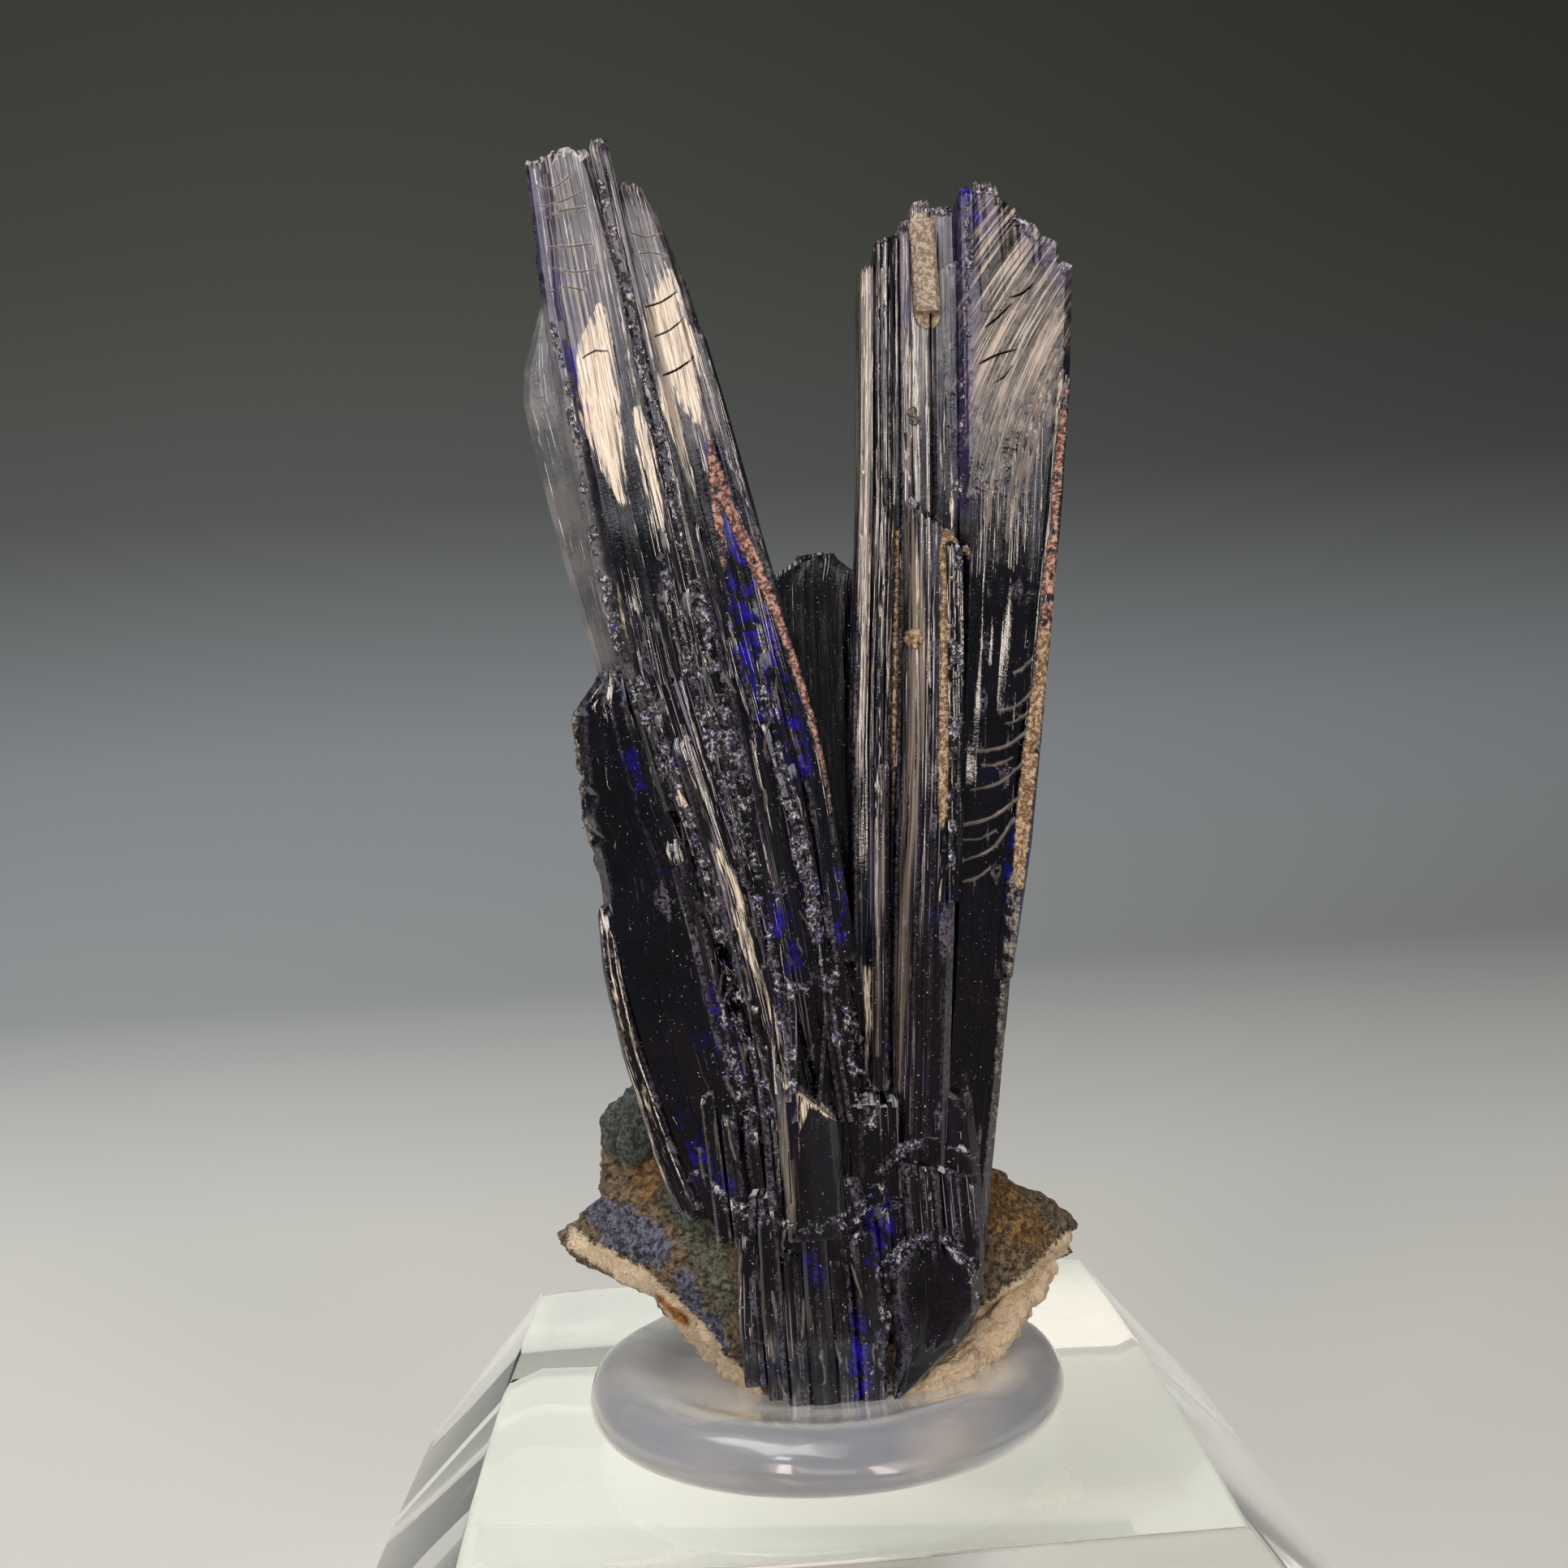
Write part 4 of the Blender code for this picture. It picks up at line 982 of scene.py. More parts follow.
def crystal_object(row, style, step, made_material):
    """One crystal as an object, worked in a style from STYLES."""
    return object_from(row[0], crystal_mesh(row, STYLES[style], step), made_material)


def fuse_all(items):
    """Fuse objects two by two, so that each step works on small meshes."""
    while len(items) > 1:
        paired = [join(items[i], items[i + 1]) for i in range(0, len(items) - 1, 2)]
        if len(items) % 2:
            paired.append(items[-1])
        items = paired
    return items[0]


def shade(item, angle):
    """Smooth shading with edges over an angle kept sharp."""
    item.data.shade_smooth()
    item.data.set_sharp_from_angle(angle=math.radians(angle))


# Depth in mm of a point that no stroke comes near, and how far back a face turns to count as back.
FAR_OFF = -9.0
TURNED_BACK = 0.35


def stroke_depth(x, z, points):
    """How deep each point lies inside a stroke, in mm; below zero outside it."""
    best = np.full(len(x), FAR_OFF)
    for (x_a, z_a, half_a), (x_b, z_b, half_b) in zip(points, points[1:]):
        run_x = x_b - x_a
        run_z = z_b - z_a
        share = ((x - x_a) * run_x + (z - z_a) * run_z) / max(run_x ** 2 + run_z ** 2, 0.000001)
        share = np.clip(share, 0.0, 1.0)
        away = np.hypot(x - x_a - share * run_x, z - z_a - share * run_z)
        best = np.maximum(best, half_a + (half_b - half_a) * share - away)
    return best


def lay_finishes_and_painted_light(piece, front, back):
    """Store on each point how deep it lies in each finish or painted light: 1 on a stroke's edge, more
    inside, 0 far off.
    """
    mesh = piece.data
    count = len(mesh.vertices)
    place = np.empty(count * 3)
    mesh.vertices.foreach_get("co", place)
    place = place.reshape(-1, 3) / MM
    facing = np.empty(count * 3)
    mesh.vertex_normals.foreach_get("vector", facing)
    facing = facing.reshape(-1, 3)
    turned_back = facing[:, 1] >= TURNED_BACK
    for finish in front:
        value = np.full(count, FAR_OFF)
        for strokes, seen in ((front, ~turned_back), (back, turned_back)):
            for points in strokes.get(finish, ()):
                depth = stroke_depth(place[:, 0], place[:, 2], points)
                value = np.where(seen, np.maximum(value, depth), value)
        stored = mesh.attributes.new(finish, "FLOAT", "POINT")
        stored.data.foreach_set("value", np.clip(value + 1.0, 0.0, 3.0).astype(np.float32))


# Colour and node helpers.


def linear(code):
    """An sRGB hex colour as linear RGBA."""
    code = code.lstrip("#")
    values = []
    for i in (0, 2, 4):
        value = int(code[i:i + 2], 16) / 255.0
        values.append(value / 12.92 if value <= 0.04045 else ((value + 0.055) / 1.055) ** 2.4)
    return (*values, 1.0)


# What the materials are made of: node type, settings, sockets in the order their inputs come, output.
NODES = {
    "add": ("ShaderNodeMath", {"operation": "ADD"}, (0, 1), 0),
    "minus": ("ShaderNodeMath", {"operation": "SUBTRACT"}, (0, 1), 0),
    "times": ("ShaderNodeMath", {"operation": "MULTIPLY"}, (0, 1), 0),
    "over": ("ShaderNodeMath", {"operation": "DIVIDE"}, (0, 1), 0),
    "power": ("ShaderNodeMath", {"operation": "POWER"}, (0, 1), 0),
    "most": ("ShaderNodeMath", {"operation": "MAXIMUM"}, (0, 1), 0),
    "below": ("ShaderNodeMath", {"operation": "LESS_THAN"}, (0, 1), 0),
    "size": ("ShaderNodeMath", {"operation": "ABSOLUTE"}, (0,), 0),
    "ease": ("ShaderNodeMapRange", {"interpolation_type": "SMOOTHSTEP"}, (0, 1, 2, 3, 4), 0),
    "slope": ("ShaderNodeMapRange", {}, (0, 1, 2), 0),
    "mix": ("ShaderNodeMix", {"data_type": "RGBA"}, (0, 6, 7), 2),
    "mix vectors": ("ShaderNodeMix", {"data_type": "VECTOR"}, (0, 4, 5), 1),
    "ramp": ("ShaderNodeValToRGB", {}, (0,), 0),
    "stretch": ("ShaderNodeMapping", {}, ("Vector", "Scale"), 0),
    "noise": ("ShaderNodeTexNoise", {}, ("Vector", "Scale", "Detail", "Roughness", "Distortion"), 0),
    "bump": ("ShaderNodeBump", {}, ("Strength", "Distance", "Height", "Normal"), 0),
    "x": ("ShaderNodeSeparateXYZ", {}, (0,), 0),
    "y": ("ShaderNodeSeparateXYZ", {}, (0,), 1),
    "z": ("ShaderNodeSeparateXYZ", {}, (0,), 2),
    "join": ("ShaderNodeCombineXYZ", {}, (0, 1), 0),
    "scaled": ("ShaderNodeVectorMath", {"operation": "SCALE"}, (0, "Scale"), 0),
    "unit": ("ShaderNodeVectorMath", {"operation": "NORMALIZE"}, (0,), 0),
    "turned": ("ShaderNodeVectorTransform",
               {"vector_type": "NORMAL", "convert_from": "OBJECT", "convert_to": "WORLD"}, (0,), 0),
    "place": ("ShaderNodeTexCoord", {}, (), "Object"),
    "flow": ("ShaderNodeUVMap", {"uv_map": "flow"}, (), 0),
    "stored": ("ShaderNodeAttribute", {}, (), "Fac"),
    "edges": ("ShaderNodeNewGeometry", {}, (), "Pointiness"),
    "normal": ("ShaderNodeNewGeometry", {}, (), "Normal"),
    "facing": ("ShaderNodeLayerWeight", {}, ("Blend",), "Facing"),
}


def feed(tree, item, inputs):
    """Give a node's sockets their values and links."""
    for socket, value in inputs.items():
        if isinstance(value, bpy.types.NodeSocket):
            tree.links.new(value, item.inputs[socket])
        else:
            item.inputs[socket].default_value = value


def add_node(tree, kind, *inputs, **settings):
    """Add a node listed in NODES with its settings, values and links; gives its output."""
    node_type, usual, sockets, output = NODES[kind]
    made = tree.nodes.new(node_type)
    for name, value in {**usual, **settings}.items():
        setattr(made, name, value)
    feed(tree, made, dict(zip(sockets, inputs)))
    return made.outputs[output]


def new_material(name):
    """A Principled material: it, a function to add nodes, one to feed its shader, and position in mm."""
    made = bpy.data.materials.new(name)
    made.use_nodes = True
    tree = made.node_tree
    node = partial(add_node, tree)
    give = partial(feed, tree, tree.nodes["Principled BSDF"])
    return made, node, give, node("scaled", node("place"), 1.0 / MM)


def speckle(node, position, scale, detail=2.0, roughness=0.5, stretch=(1.0, 1.0, 1.0), distortion=0.0):
    """A pattern of noise over a position in mm; scale counts features per mm."""
    return node("noise", node("stretch", position, stretch), scale, detail, roughness, distortion)


def inside(node, finish, ragged, amount, soft):
    """How much of a finish shows: its stored depth in mm, roughened by a noise; soft is its edge in mm."""
    rough = node("times", node("minus", ragged, 0.5), amount)
    return node("ease", node("add", node("stored", attribute_name=finish), rough), 1.0 - soft, 1.0 + soft)


def laid(node, colour, share, amount, tone):
    """A colour with a tone laid over it, as strongly as the share times the amount."""
    if amount != 1.0:
        share = node("times", share, amount)
    return node("mix", share, colour, linear(tone) if isinstance(tone, str) else tone)


def shaded(node, value, low, high, dark, light):
    """A colour that runs from dark to light while the value runs from low to high."""
    return laid(node, linear(dark), node("ease", value, low, high), 1.0, light)


def azurite_material(settings):
    """Azurite, a glassy copper carbonate grown as ribbed blades, with its druse and iron crusts.

    It gives the eye a near-black violet body with pure blue where light gets through, fine bright
    growth lines along each crystal and granular seams, with painted light on it: a grey painted sheen
    on the upper faces, cream painted reflections, and painted highlights on edges and glints.
    """
    made, node, give, position = new_material("azurite")
    flow = node("flow")
    # Growth lines run along the crystal: 0.1 to 0.5 mm wide and several mm long.
    streak = speckle(node, flow, 1.0, 3.0, 0.6, (4.0, 0.16, 1.0), 0.3)
    thread = speckle(node, flow, 1.0, 1.0, 0.5, (11.0, 0.14, 1.0))
    grain = speckle(node, position, 5.5, 3.0, 0.75)
    patch = speckle(node, position, 0.5, 4.0, 0.65)
    clump = speckle(node, position, 1.6, 2.0, 0.6)
    z = node("z", position)

    # Body: violet black, with browner and bluer areas and thin lighter lines.
    colour = shaded(node, patch, 0.42, 0.56, "#040308", tuple(settings.violet_body))
    colour = laid(node, colour, node("ease", patch, 0.6, 0.68), 0.8, "#0d0b34")
    lined = inside(node, "lined", clump, 1.2, 0.5)
    busy = node("minus", 1.0, node("times", inside(node, "calm", clump, 0.8, 0.5), 0.9))
    lines = node("most", node("ease", clump, 0.58, 0.68), node("times", lined, 0.8))
    lines = node("times", node("times", node("ease", thread, 0.62, 0.67), lines), busy)
    colour = laid(node, colour, lines, 0.75, "#b0a6ba")
    # Painted highlights: edges painted lighter where they catch the light, and scattered painted glints.
    edges = node("times", node("ease", node("edges"), 0.53, 0.6), node("ease", grain, 0.4, 0.62))
    colour = laid(node, colour, edges, 0.6, "#8d8598")
    specks = node("ease", speckle(node, position, 9.5, 1.0, 0.5), 0.73, 0.78, 0.0, 0.8)
    fine_glints = node("ease", speckle(node, position, 14.0, 0.0), 0.82, 0.86, 0.0, 0.6)
    colour = laid(node, colour, node("most", node("times", specks, busy), fine_glints), 1.0, "#e6e2ec")
    # Slivers painted cream among the growth lines: painted reflections, like the cream patches.
    sliver = speckle(node, flow, 1.0, 3.0, 0.6, (6.0, 0.3, 1.0), 0.4)
    among = node("times", lined, node("ease", clump, 0.46, 0.54))
    colour = laid(node, colour, node("times", node("ease", sliver, 0.65, 0.68), among), 0.85, "#e6d8c8")

    # Upper faces painted grey with pale and dark threads, and the clear blade painted grey: a painted sheen
    # over the reflection of the high front light. Then the slaty foot.
    glassy = shaded(node, patch, 0.35, 0.65, "#4c4850", tuple(settings.glass))
    glassy = laid(node, glassy, node("ease", thread, 0.56, 0.62), 0.75, "#dcd2cc")
    glassy = laid(node, glassy, node("ease", thread, 0.43, 0.38), 0.8, "#221e28")
    colour = laid(node, colour, inside(node, "glass", clump, 1.4, 0.5), 0.9, glassy)
    clear_blade_sheen = shaded(node, patch, 0.38, 0.62, "#6a6c70", "#949292")
    colour = laid(node, colour, inside(node, "clear", clump, 0.3, 0.3), 0.92, clear_blade_sheen)
    colour = laid(node, colour, inside(node, "slate", clump, 0.3, 0.2), 0.7, "#1d1f26")

    # The fan: lines that rise and curl to the right on the broad blade. Its ground and its bright lines grow
    # lighter towards the top, a painted reflection.
    lifted = node("most", node("minus", z, FAN_FOOT), 0.0)
    sideways = node("minus", node("x", position), node("times", node("power", lifted, 2.0), FAN_CURL))
    fan_lines = speckle(node, node("join", sideways, z), 1.0, 3.0, 0.7, (7.5, 0.2, 1.0), 0.15)
    fan = inside(node, "fan", clump, 1.6, 0.6)
    upper = node("ease", z, 54.5, 59.5, 0.1, 1.0)
    fan_ground = laid(node, linear("#2c2624"), upper, 1.0, "#5c524d")
    fan_colour = shaded(node, clump, 0.36, 0.6, "#151113", fan_ground)
    bright = node("times", node("ease", fan_lines, 0.5, 0.56), upper)
    fan_colour = laid(node, fan_colour, bright, 0.92, "#f0dfcf")
    fan_colour = laid(node, fan_colour, node("ease", fan_lines, 0.46, 0.41), 0.95, "#0e0a0e")
    colour = laid(node, colour, fan, 0.92, fan_colour)
    colour = laid(node, colour, inside(node, "violet", clump, 0.7, 0.4), 0.35, "#5e4f8e")

    # Painted light: a brown-grey painted sheen, and raised ridges painted lighter where they catch the light,
    # a painted highlight.
    sheen = node("times", inside(node, "sheen", streak, 0.5, 0.12), node("ease", thread, 0.36, 0.5))
    colour = laid(node, colour, sheen, 0.7, "#b09f90")
    colour = laid(node, colour, inside(node, "ridge", clump, 0.1, 0.05), 0.5, "#d6c8bc")

    blue = node("times", inside(node, "blue", streak, 1.2, 0.28), node("ease", clump, 0.44, 0.6))
    blues = shaded(node, grain, 0.38, 0.6, "#0a0446", tuple(settings.blue))
    colour = laid(node, colour, blue, 1.0, blues)

    # Cream patches painted on as a painted reflection, finely ribbed along the crystal, with dark gaps.
    cream_reflection = inside(node, "cream_reflection", speckle(node, flow, 1.0, 4.0, 0.7, (5.0, 1.0, 1.0)), 0.3, 0.04)
    ribs = speckle(node, flow, 1.0, 3.0, 0.65, (11.0, 0.45, 1.0), 0.6)
    deep = node("ease", node("stored", attribute_name="cream_reflection"), 1.12, 1.3)
    solid = node("most", node("ease", ribs, 0.45, 0.52), deep)
    cream_reflection = node("times", node("times", cream_reflection, solid), node("ease", ribs, 0.33, 0.4))
    colour = laid(node, colour, cream_reflection, 1.0, shaded(node, ribs, 0.38, 0.54, "#b39a82", tuple(settings.cream_reflection)))
    # Cracks painted near black: partly dark gaps, partly a painted shade in the grooves cut for them.
    colour = laid(node, colour, inside(node, "crack", clump, 0.06, 0.04), 0.9, "#0c080a")

    # Seams of druse, then crusts and the plate: dark and light tone, raggedness, patchiness, where the light
    # tone begins. The druse's near-white tone is partly its pale grains, partly painted glints; the plate's
    # pale tone is a painted reflection.
    shares = {}
    for finish, dark, light, amount, cover, low in (
        ("druse", "#06050c", "#f2ecfa", 0.3, 0.48, 0.5),
        ("salmon", "#74453e", tuple(settings.salmon), 0.24, 0.34, 0.46),
        ("tan", "#8a6440", tuple(settings.tan), 0.2, 0.26, 0.46),
        ("grit", "#403a38", "#a89e90", 0.24, 0.44, 0.46),
        ("plate", "#a08a76", "#e6d2bc", 0.08, -1.0, 0.46),
    ):
        share = inside(node, finish, grain, amount, 0.05)
        shares[finish] = node("times", share, node("ease", clump, cover, cover + 0.1))
        tone = shaded(node, grain, low, low + 0.1, dark, light)
        if finish == "druse":
            glint = node("ease", speckle(node, position, 3.2, 2.0, 0.6), 0.56, 0.64)
            tone = laid(node, tone, glint, 0.5, "#1c1184")
        colour = laid(node, colour, shares[finish], 1.0, tone)
    sparkly = shares.pop("druse")
    crusty = reduce(partial(node, "most"), shares.values())

    rough = node("add", 0.05, node("times", node("times", node("ease", streak, 0.3, 0.75), busy), 0.14))
    for share, more in ((cream_reflection, 0.14), (crusty, 0.35), (sparkly, 0.08)):
        rough = node("add", rough, node("times", share, more))

    true_normal = node("normal")
    front = node("ease", node("y", true_normal), -0.3, -0.7)
    # The painted cream patches also lean their normals one way, so they mirror the lights whichever way the
    # crystal's face looks.
    lean = node("times", node("times", cream_reflection, front), 0.8)
    normal = node("unit", node("mix vectors", lean, true_normal, node("turned", (-0.2, -0.97, 0.06))))
    granular = node("most", node("most", crusty, sparkly), 0.03)
    for height, share, depth in (
        (streak, busy, 0.03), (thread, busy, 0.012), (fan_lines, fan, 0.06), (grain, granular, 0.14),
    ):
        normal = node("bump", 1.0, depth * MM, node("times", height, share), normal)
    give({"Base Color": colour, "Roughness": rough, "IOR": 1.8, "Normal": normal})
    return made


def rock_material(settings):
    """Iron-stained rock: limonite grain with copper minerals on it, broken off below.

    It gives the eye a dull brown grain, with ochre, blue and green druse, and a pale tan rim below, painted
    brighter than its own tone as a painted light.
    """
    made, node, give, position = new_material("iron-stained rock")
    grain = speckle(node, position, 4.2, 4.0, 0.75)
    patch = speckle(node, position, 0.9, 4.0, 0.65)
    clump = speckle(node, position, 1.5, 3.0, 0.6)
    colour = shaded(node, grain, 0.36, 0.66, "#211c16", tuple(settings.brown))
    colour = laid(node, colour, node("ease", patch, 0.5, 0.62), 0.6, "#7a6a55")
    # Stains: dark and light tone, raggedness, strength.
    for finish, dark, light, amount, most in (
        ("ochre", "#5a4024", "#c4965a", 1.2, 0.8),
        ("slate", "#262b29", "#6c7773", 0.9, 0.95),
        ("skin", "#39322a", "#776b5b", 0.7, 0.9),
        ("green", "#2c352c", "#7f9a86", 1.0, 0.55),
        ("azure", "#171d38", "#8093be", 1.2, 0.7),
    ):
        tone = shaded(node, grain, 0.4, 0.64, dark, light)
        colour = laid(node, colour, inside(node, finish, clump, amount, 0.18), most, tone)
    # The broken rim: its own pale tan, painted brighter than that as a painted light, since it faces down and
    # gets little light from above.
    pale = shaded(node, grain, 0.34, 0.5, "#f2c794", tuple(settings.rim))
    colour = laid(node, colour, inside(node, "rim", grain, 0.9, 0.12), 1.0, pale)
    resin = shaded(node, grain, 0.4, 0.6, "#7a4208", "#e39a2c")
    colour = laid(node, colour, inside(node, "amber", clump, 0.3, 0.1), 1.0, resin)
    normal = node("bump", 1.0, 0.4 * MM, patch)
    normal = node("bump", 1.0, 0.3 * MM, grain, normal)
    give({"Base Color": colour, "Roughness": 0.7, "IOR": 1.55, "Normal": normal})
    return made


def putty_material(settings):
    """Clear mounting putty, pressed by hand: milky, soft to look through, with a glossy skin.

    It gives the eye a pale lavender-white glow with broad soft highlights.
    """
    made, node, give, position = new_material("clear mounting putty")
    # Seen edge on, the putty is painted whiter and less clear: partly its thicker milky body, partly a
    # painted highlight along its rim.
    edge = node("ease", node("facing", 0.5), 0.35, 0.95)
    give({
        "Base Color": laid(node, tuple(settings.milk), edge, 1.0, "#fdf8f2"),
        "Transmission Weight": node("ease", edge, 0.0, 1.0, 0.72, 0.45),
        "Roughness": 0.22,
        "IOR": 1.42,
        "Coat Weight": 1.0,
        "Coat Roughness": 0.1,
        "Coat IOR": 1.5,
        "Coat Normal": node("bump", 1.0, 0.5 * MM, speckle(node, position, 0.22, 1.0)),
    })
    return made


def acrylic_material(settings):
    """Cast acrylic, sawn, bevelled and polished: clear, with bright thin edges and a worn underside."""
    made, node, give, position = new_material("polished clear acrylic")
    # The underside is worn matt towards the back right corner.
    to_right = node("ease", node("x", position), -1.0, 9.0)
    to_back = node("ease", node("y", position), 1.0, 11.0)
    worn = node("times", node("below", node("z", position), 0.01), node("times", to_right, to_back))
    give({
        "Base Color": tuple(settings.tint),
        "Roughness": node("times", worn, 0.6),
        "IOR": 1.49,
        "Transmission Weight": 1.0,
    })
    return made


def lumps(spot, waves, start=0.0):
    """A start value with the noise of several waves added to it at a spot."""
    for often, height in waves:
        start += height * noise.noise(spot * often)
    return start


def rock_mesh():
    """The rock as a rough loft, in mm."""
    bm = bmesh.new()
    axis_x, axis_y = ROCK_AXIS
    rows = []
    for upper, lower in zip(ROCK_LEVELS, ROCK_LEVELS[1:]):
        for i in range(ROCK_ROWS_BETWEEN):
            share = i / ROCK_ROWS_BETWEEN
            rows.append([a + (b - a) * share for a, b in zip(upper, lower)])
    rows.append(list(ROCK_LEVELS[-1]))
    rings = []
    last = len(rows) - 1
    for index, (z, left, right, front, back) in enumerate(rows):
        ring = []
        for step in range(ROCK_AROUND):
            angle = 2.0 * math.pi * step / ROCK_AROUND
            c = math.cos(angle)
            s = math.sin(angle)
            reach_x = right if c > 0.0 else left
            reach_y = back if s > 0.0 else front
            radius = 1.0 / math.sqrt((c / reach_x) ** 2 + (s / reach_y) ** 2)
            where = Vector((c * 6.0, s * 6.0, z)) * 0.55
            grain = lumps(Vector((c * radius, s * radius, z)), ROCK_GRAIN)
            radius += ROCK_NOISE * lumps(where, ROCK_LUMPS) + grain - 0.1
            lift = 0.35 * noise.noise(where * 1.3 + Vector((9.0, 4.0, 2.0)))
            height = z + (lift if 0 < index < last else 0.0)
            ring.append(bm.verts.new((axis_x + radius * c, axis_y + radius * s, height)))
        rings.append(ring)
    skin(bm, rings)
    bmesh.ops.recalc_face_normals(bm, faces=bm.faces)
    return bm


def lip_mesh():
    """The lumpy lip along the rock's edge as a tube of changing width, in mm."""
    bm = bmesh.new()
    stations = []
    for a, b in zip(ROCK_LIP, ROCK_LIP[1:]):
        for i in range(LIP_ROWS):
            stations.append([p + (q - p) * i / LIP_ROWS for p, q in zip(a, b)])
    stations.append(list(ROCK_LIP[-1]))
    run = (Vector(ROCK_LIP[-1][:3]) - Vector(ROCK_LIP[0][:3])).normalized()
    aside = run.cross(Vector((0.0, 0.0, 1.0))).normalized()
    above = aside.cross(run)
    rings = []
    for x, y, z, radius in stations:
        ring = []
        for step in range(LIP_AROUND):
            angle = 2.0 * math.pi * step / LIP_AROUND
            out = math.cos(angle) * aside + math.sin(angle) * above
            spot = Vector((x, y, z)) + out * radius
            ring.append(bm.verts.new(Vector((x, y, z)) + out * radius * lumps(spot, LIP_LUMPS, 1.0)))
        rings.append(ring)
    skin(bm, rings)
    bmesh.ops.recalc_face_normals(bm, faces=bm.faces)
    return bm


def knob_mesh():
    """The lump at the rock's left end, in mm."""
    bm = bmesh.new()
    bmesh.ops.create_icosphere(bm, subdivisions=5, radius=1.0)
    for vert in bm.verts:
        swell = lumps(vert.co, KNOB_LUMPS, 1.0)
        vert.co = Vector([KNOB_CENTRE[i] + vert.co[i] * KNOB_RADII[i] * swell for i in range(3)])
    return bm


def block_ring(half_x, half_y, middle, z, bow):
    """A four-sided ring whose sides swell outward a little in the middle, in mm."""
    ring = []
    corners = ((-1.0, -1.0), (1.0, -1.0), (1.0, 1.0), (-1.0, 1.0))
    steps = 16
    for start, end in zip(corners, corners[1:] + corners[:1]):
        out = (0.5 * (start[0] + end[0]), 0.5 * (start[1] + end[1]))
        for step in range(steps):
            share = step / steps
            swell = bow * 4.0 * share * (1.0 - share)
            x = half_x * (start[0] + (end[0] - start[0]) * share) + out[0] * swell
            y = middle + half_y * (start[1] + (end[1] - start[1]) * share) + out[1] * swell
            ring.append((x, y, z))
    return ring


def area_light(name, place, aim, width, height, power, colour):
    """A soft rectangular light aimed at a point; sizes in metres."""
    data = bpy.data.lights.new(name, "AREA")
    data.shape = "RECTANGLE"
    data.size = width
    data.size_y = height
    data.energy = power
    data.color = linear(colour)[:3]
    item = bpy.data.objects.new(name, data)
    item.location = place
    item.rotation_euler = (Vector(aim) - Vector(place)).to_track_quat("-Z", "Y").to_euler()
    bpy.context.scene.collection.objects.link(item)
    return item


def sweep_material(settings):
    """Matt studio paper: a pale floor that runs up into a backdrop darkening with height."""
    made, node, give, position = new_material("graded studio paper")
    x, y, z = (node(axis, position) for axis in "xyz")
    # The way up the sweep: back along the floor, then up the backdrop.
    way = node("add", y, node("times", z, 1.4))
    graded = node("ramp", node("over", way, SWEEP_WAY))
    stops = graded.node.color_ramp.elements
    stops[0].color = tuple(settings.floor)
    stops[1].color = linear(SWEEP_END)
    for place, code in SWEEP_TONES:
        stops.new(place).color = linear(code)
    colour = laid(node, graded, node("slope", y, -25.0, -85.0), 1.0, "#3b3431")
    # The right side lies a little further from the light, but for a band half way up.
    band = node("size", node("minus", way, 438.0))
    away = node("times", node("ease", x, -150.0, 250.0), node("ease", band, 20.0, 220.0, 0.1, 0.42))
    colour = laid(node, colour, away, 1.0, "#262622")
    # Above the camera's view the backdrop is pale; the block's back facet mirrors it.
    colour = laid(node, colour, node("ease", z, 340.0, 480.0), 1.0, "#f2e8da")
    give({"Base Color": colour, "Roughness": 0.9})
    return made


def card_material():
    """White card that glows softly, like a lit studio ceiling."""
    made, _, give, _ = new_material("lit white card")
    give({
        "Base Color": linear("#e8e4dc"),
        "Emission Color": linear("#d2c8ba"),
        "Emission Strength": 0.7,
    })
    return made


def place_camera():
    """The photo's view: a little above the cluster's middle, tipped and rolled as measured."""
    pitch, roll, yaw = (math.radians(value) for value in CAMERA_TURNS)
    turn = Matrix.Rotation(-yaw, 3, "Z")
    ahead = turn @ Vector((0.0, math.cos(pitch), -math.sin(pitch)))
    side = turn @ Vector((1.0, 0.0, 0.0))
    up = turn @ Vector((0.0, math.sin(pitch), math.cos(pitch)))
    right_axis = math.cos(roll) * side + math.sin(roll) * up
    up_axis = -math.sin(roll) * side + math.cos(roll) * up
    data = bpy.data.cameras.new("camera")
    data.sensor_width = CAMERA_SENSOR
    data.lens = CAMERA_LENS
    data.clip_start = 0.005
    camera = bpy.data.objects.new("camera", data)
    bpy.context.scene.collection.objects.link(camera)
    rows = zip(right_axis, up_axis, -ahead, CAMERA_PLACE)
    camera.matrix_world = Matrix((*rows, (0.0, 0.0, 0.0, 1.0)))
    bpy.context.scene.camera = camera


def length(name, note, millimetres):
    """A length property with its default in millimetres."""
    return FloatProperty(
        name=name, description=note, default=millimetres * MM, min=0.0, unit="LENGTH", precision=5,
    )


def tint(name, note, code):
    """A colour property with its default as sRGB hex."""
    return FloatVectorProperty(
        name=name, description=note, default=linear(code), size=4, subtype="COLOR", min=0.0, max=1.0,
    )


class AzuriteSettings(bpy.types.PropertyGroup):
    """Sizes and colours of the crystals."""

    row_spacing: length("Row spacing", "Distance between the rings that a crystal is lofted through", 0.34)
    grain_seed: IntProperty(name="Grain seed", description="Seed for grains and needles", default=7)
    violet_body: tint("Body", "The crystals' own violet black", "#0d0813")
    blue: tint("Blue", "Pure blue where light comes through", "#2410b8")
    # The upper faces' grey is a painted sheen over the reflection of the high front light.
    glass: tint("Glassy tips", "Grey of the glassy upper faces", "#8f878c")
    # The cream of the patches is a painted reflection.
    cream_reflection: tint("Pearl", "Cream of cleaved faces", "#fdebd2")
    salmon: tint("Salmon crust", "Light tone of the salmon crust", "#eebba8")
    tan: tint("Tan crust", "Light tone of the tan crust", "#e6c9a4")


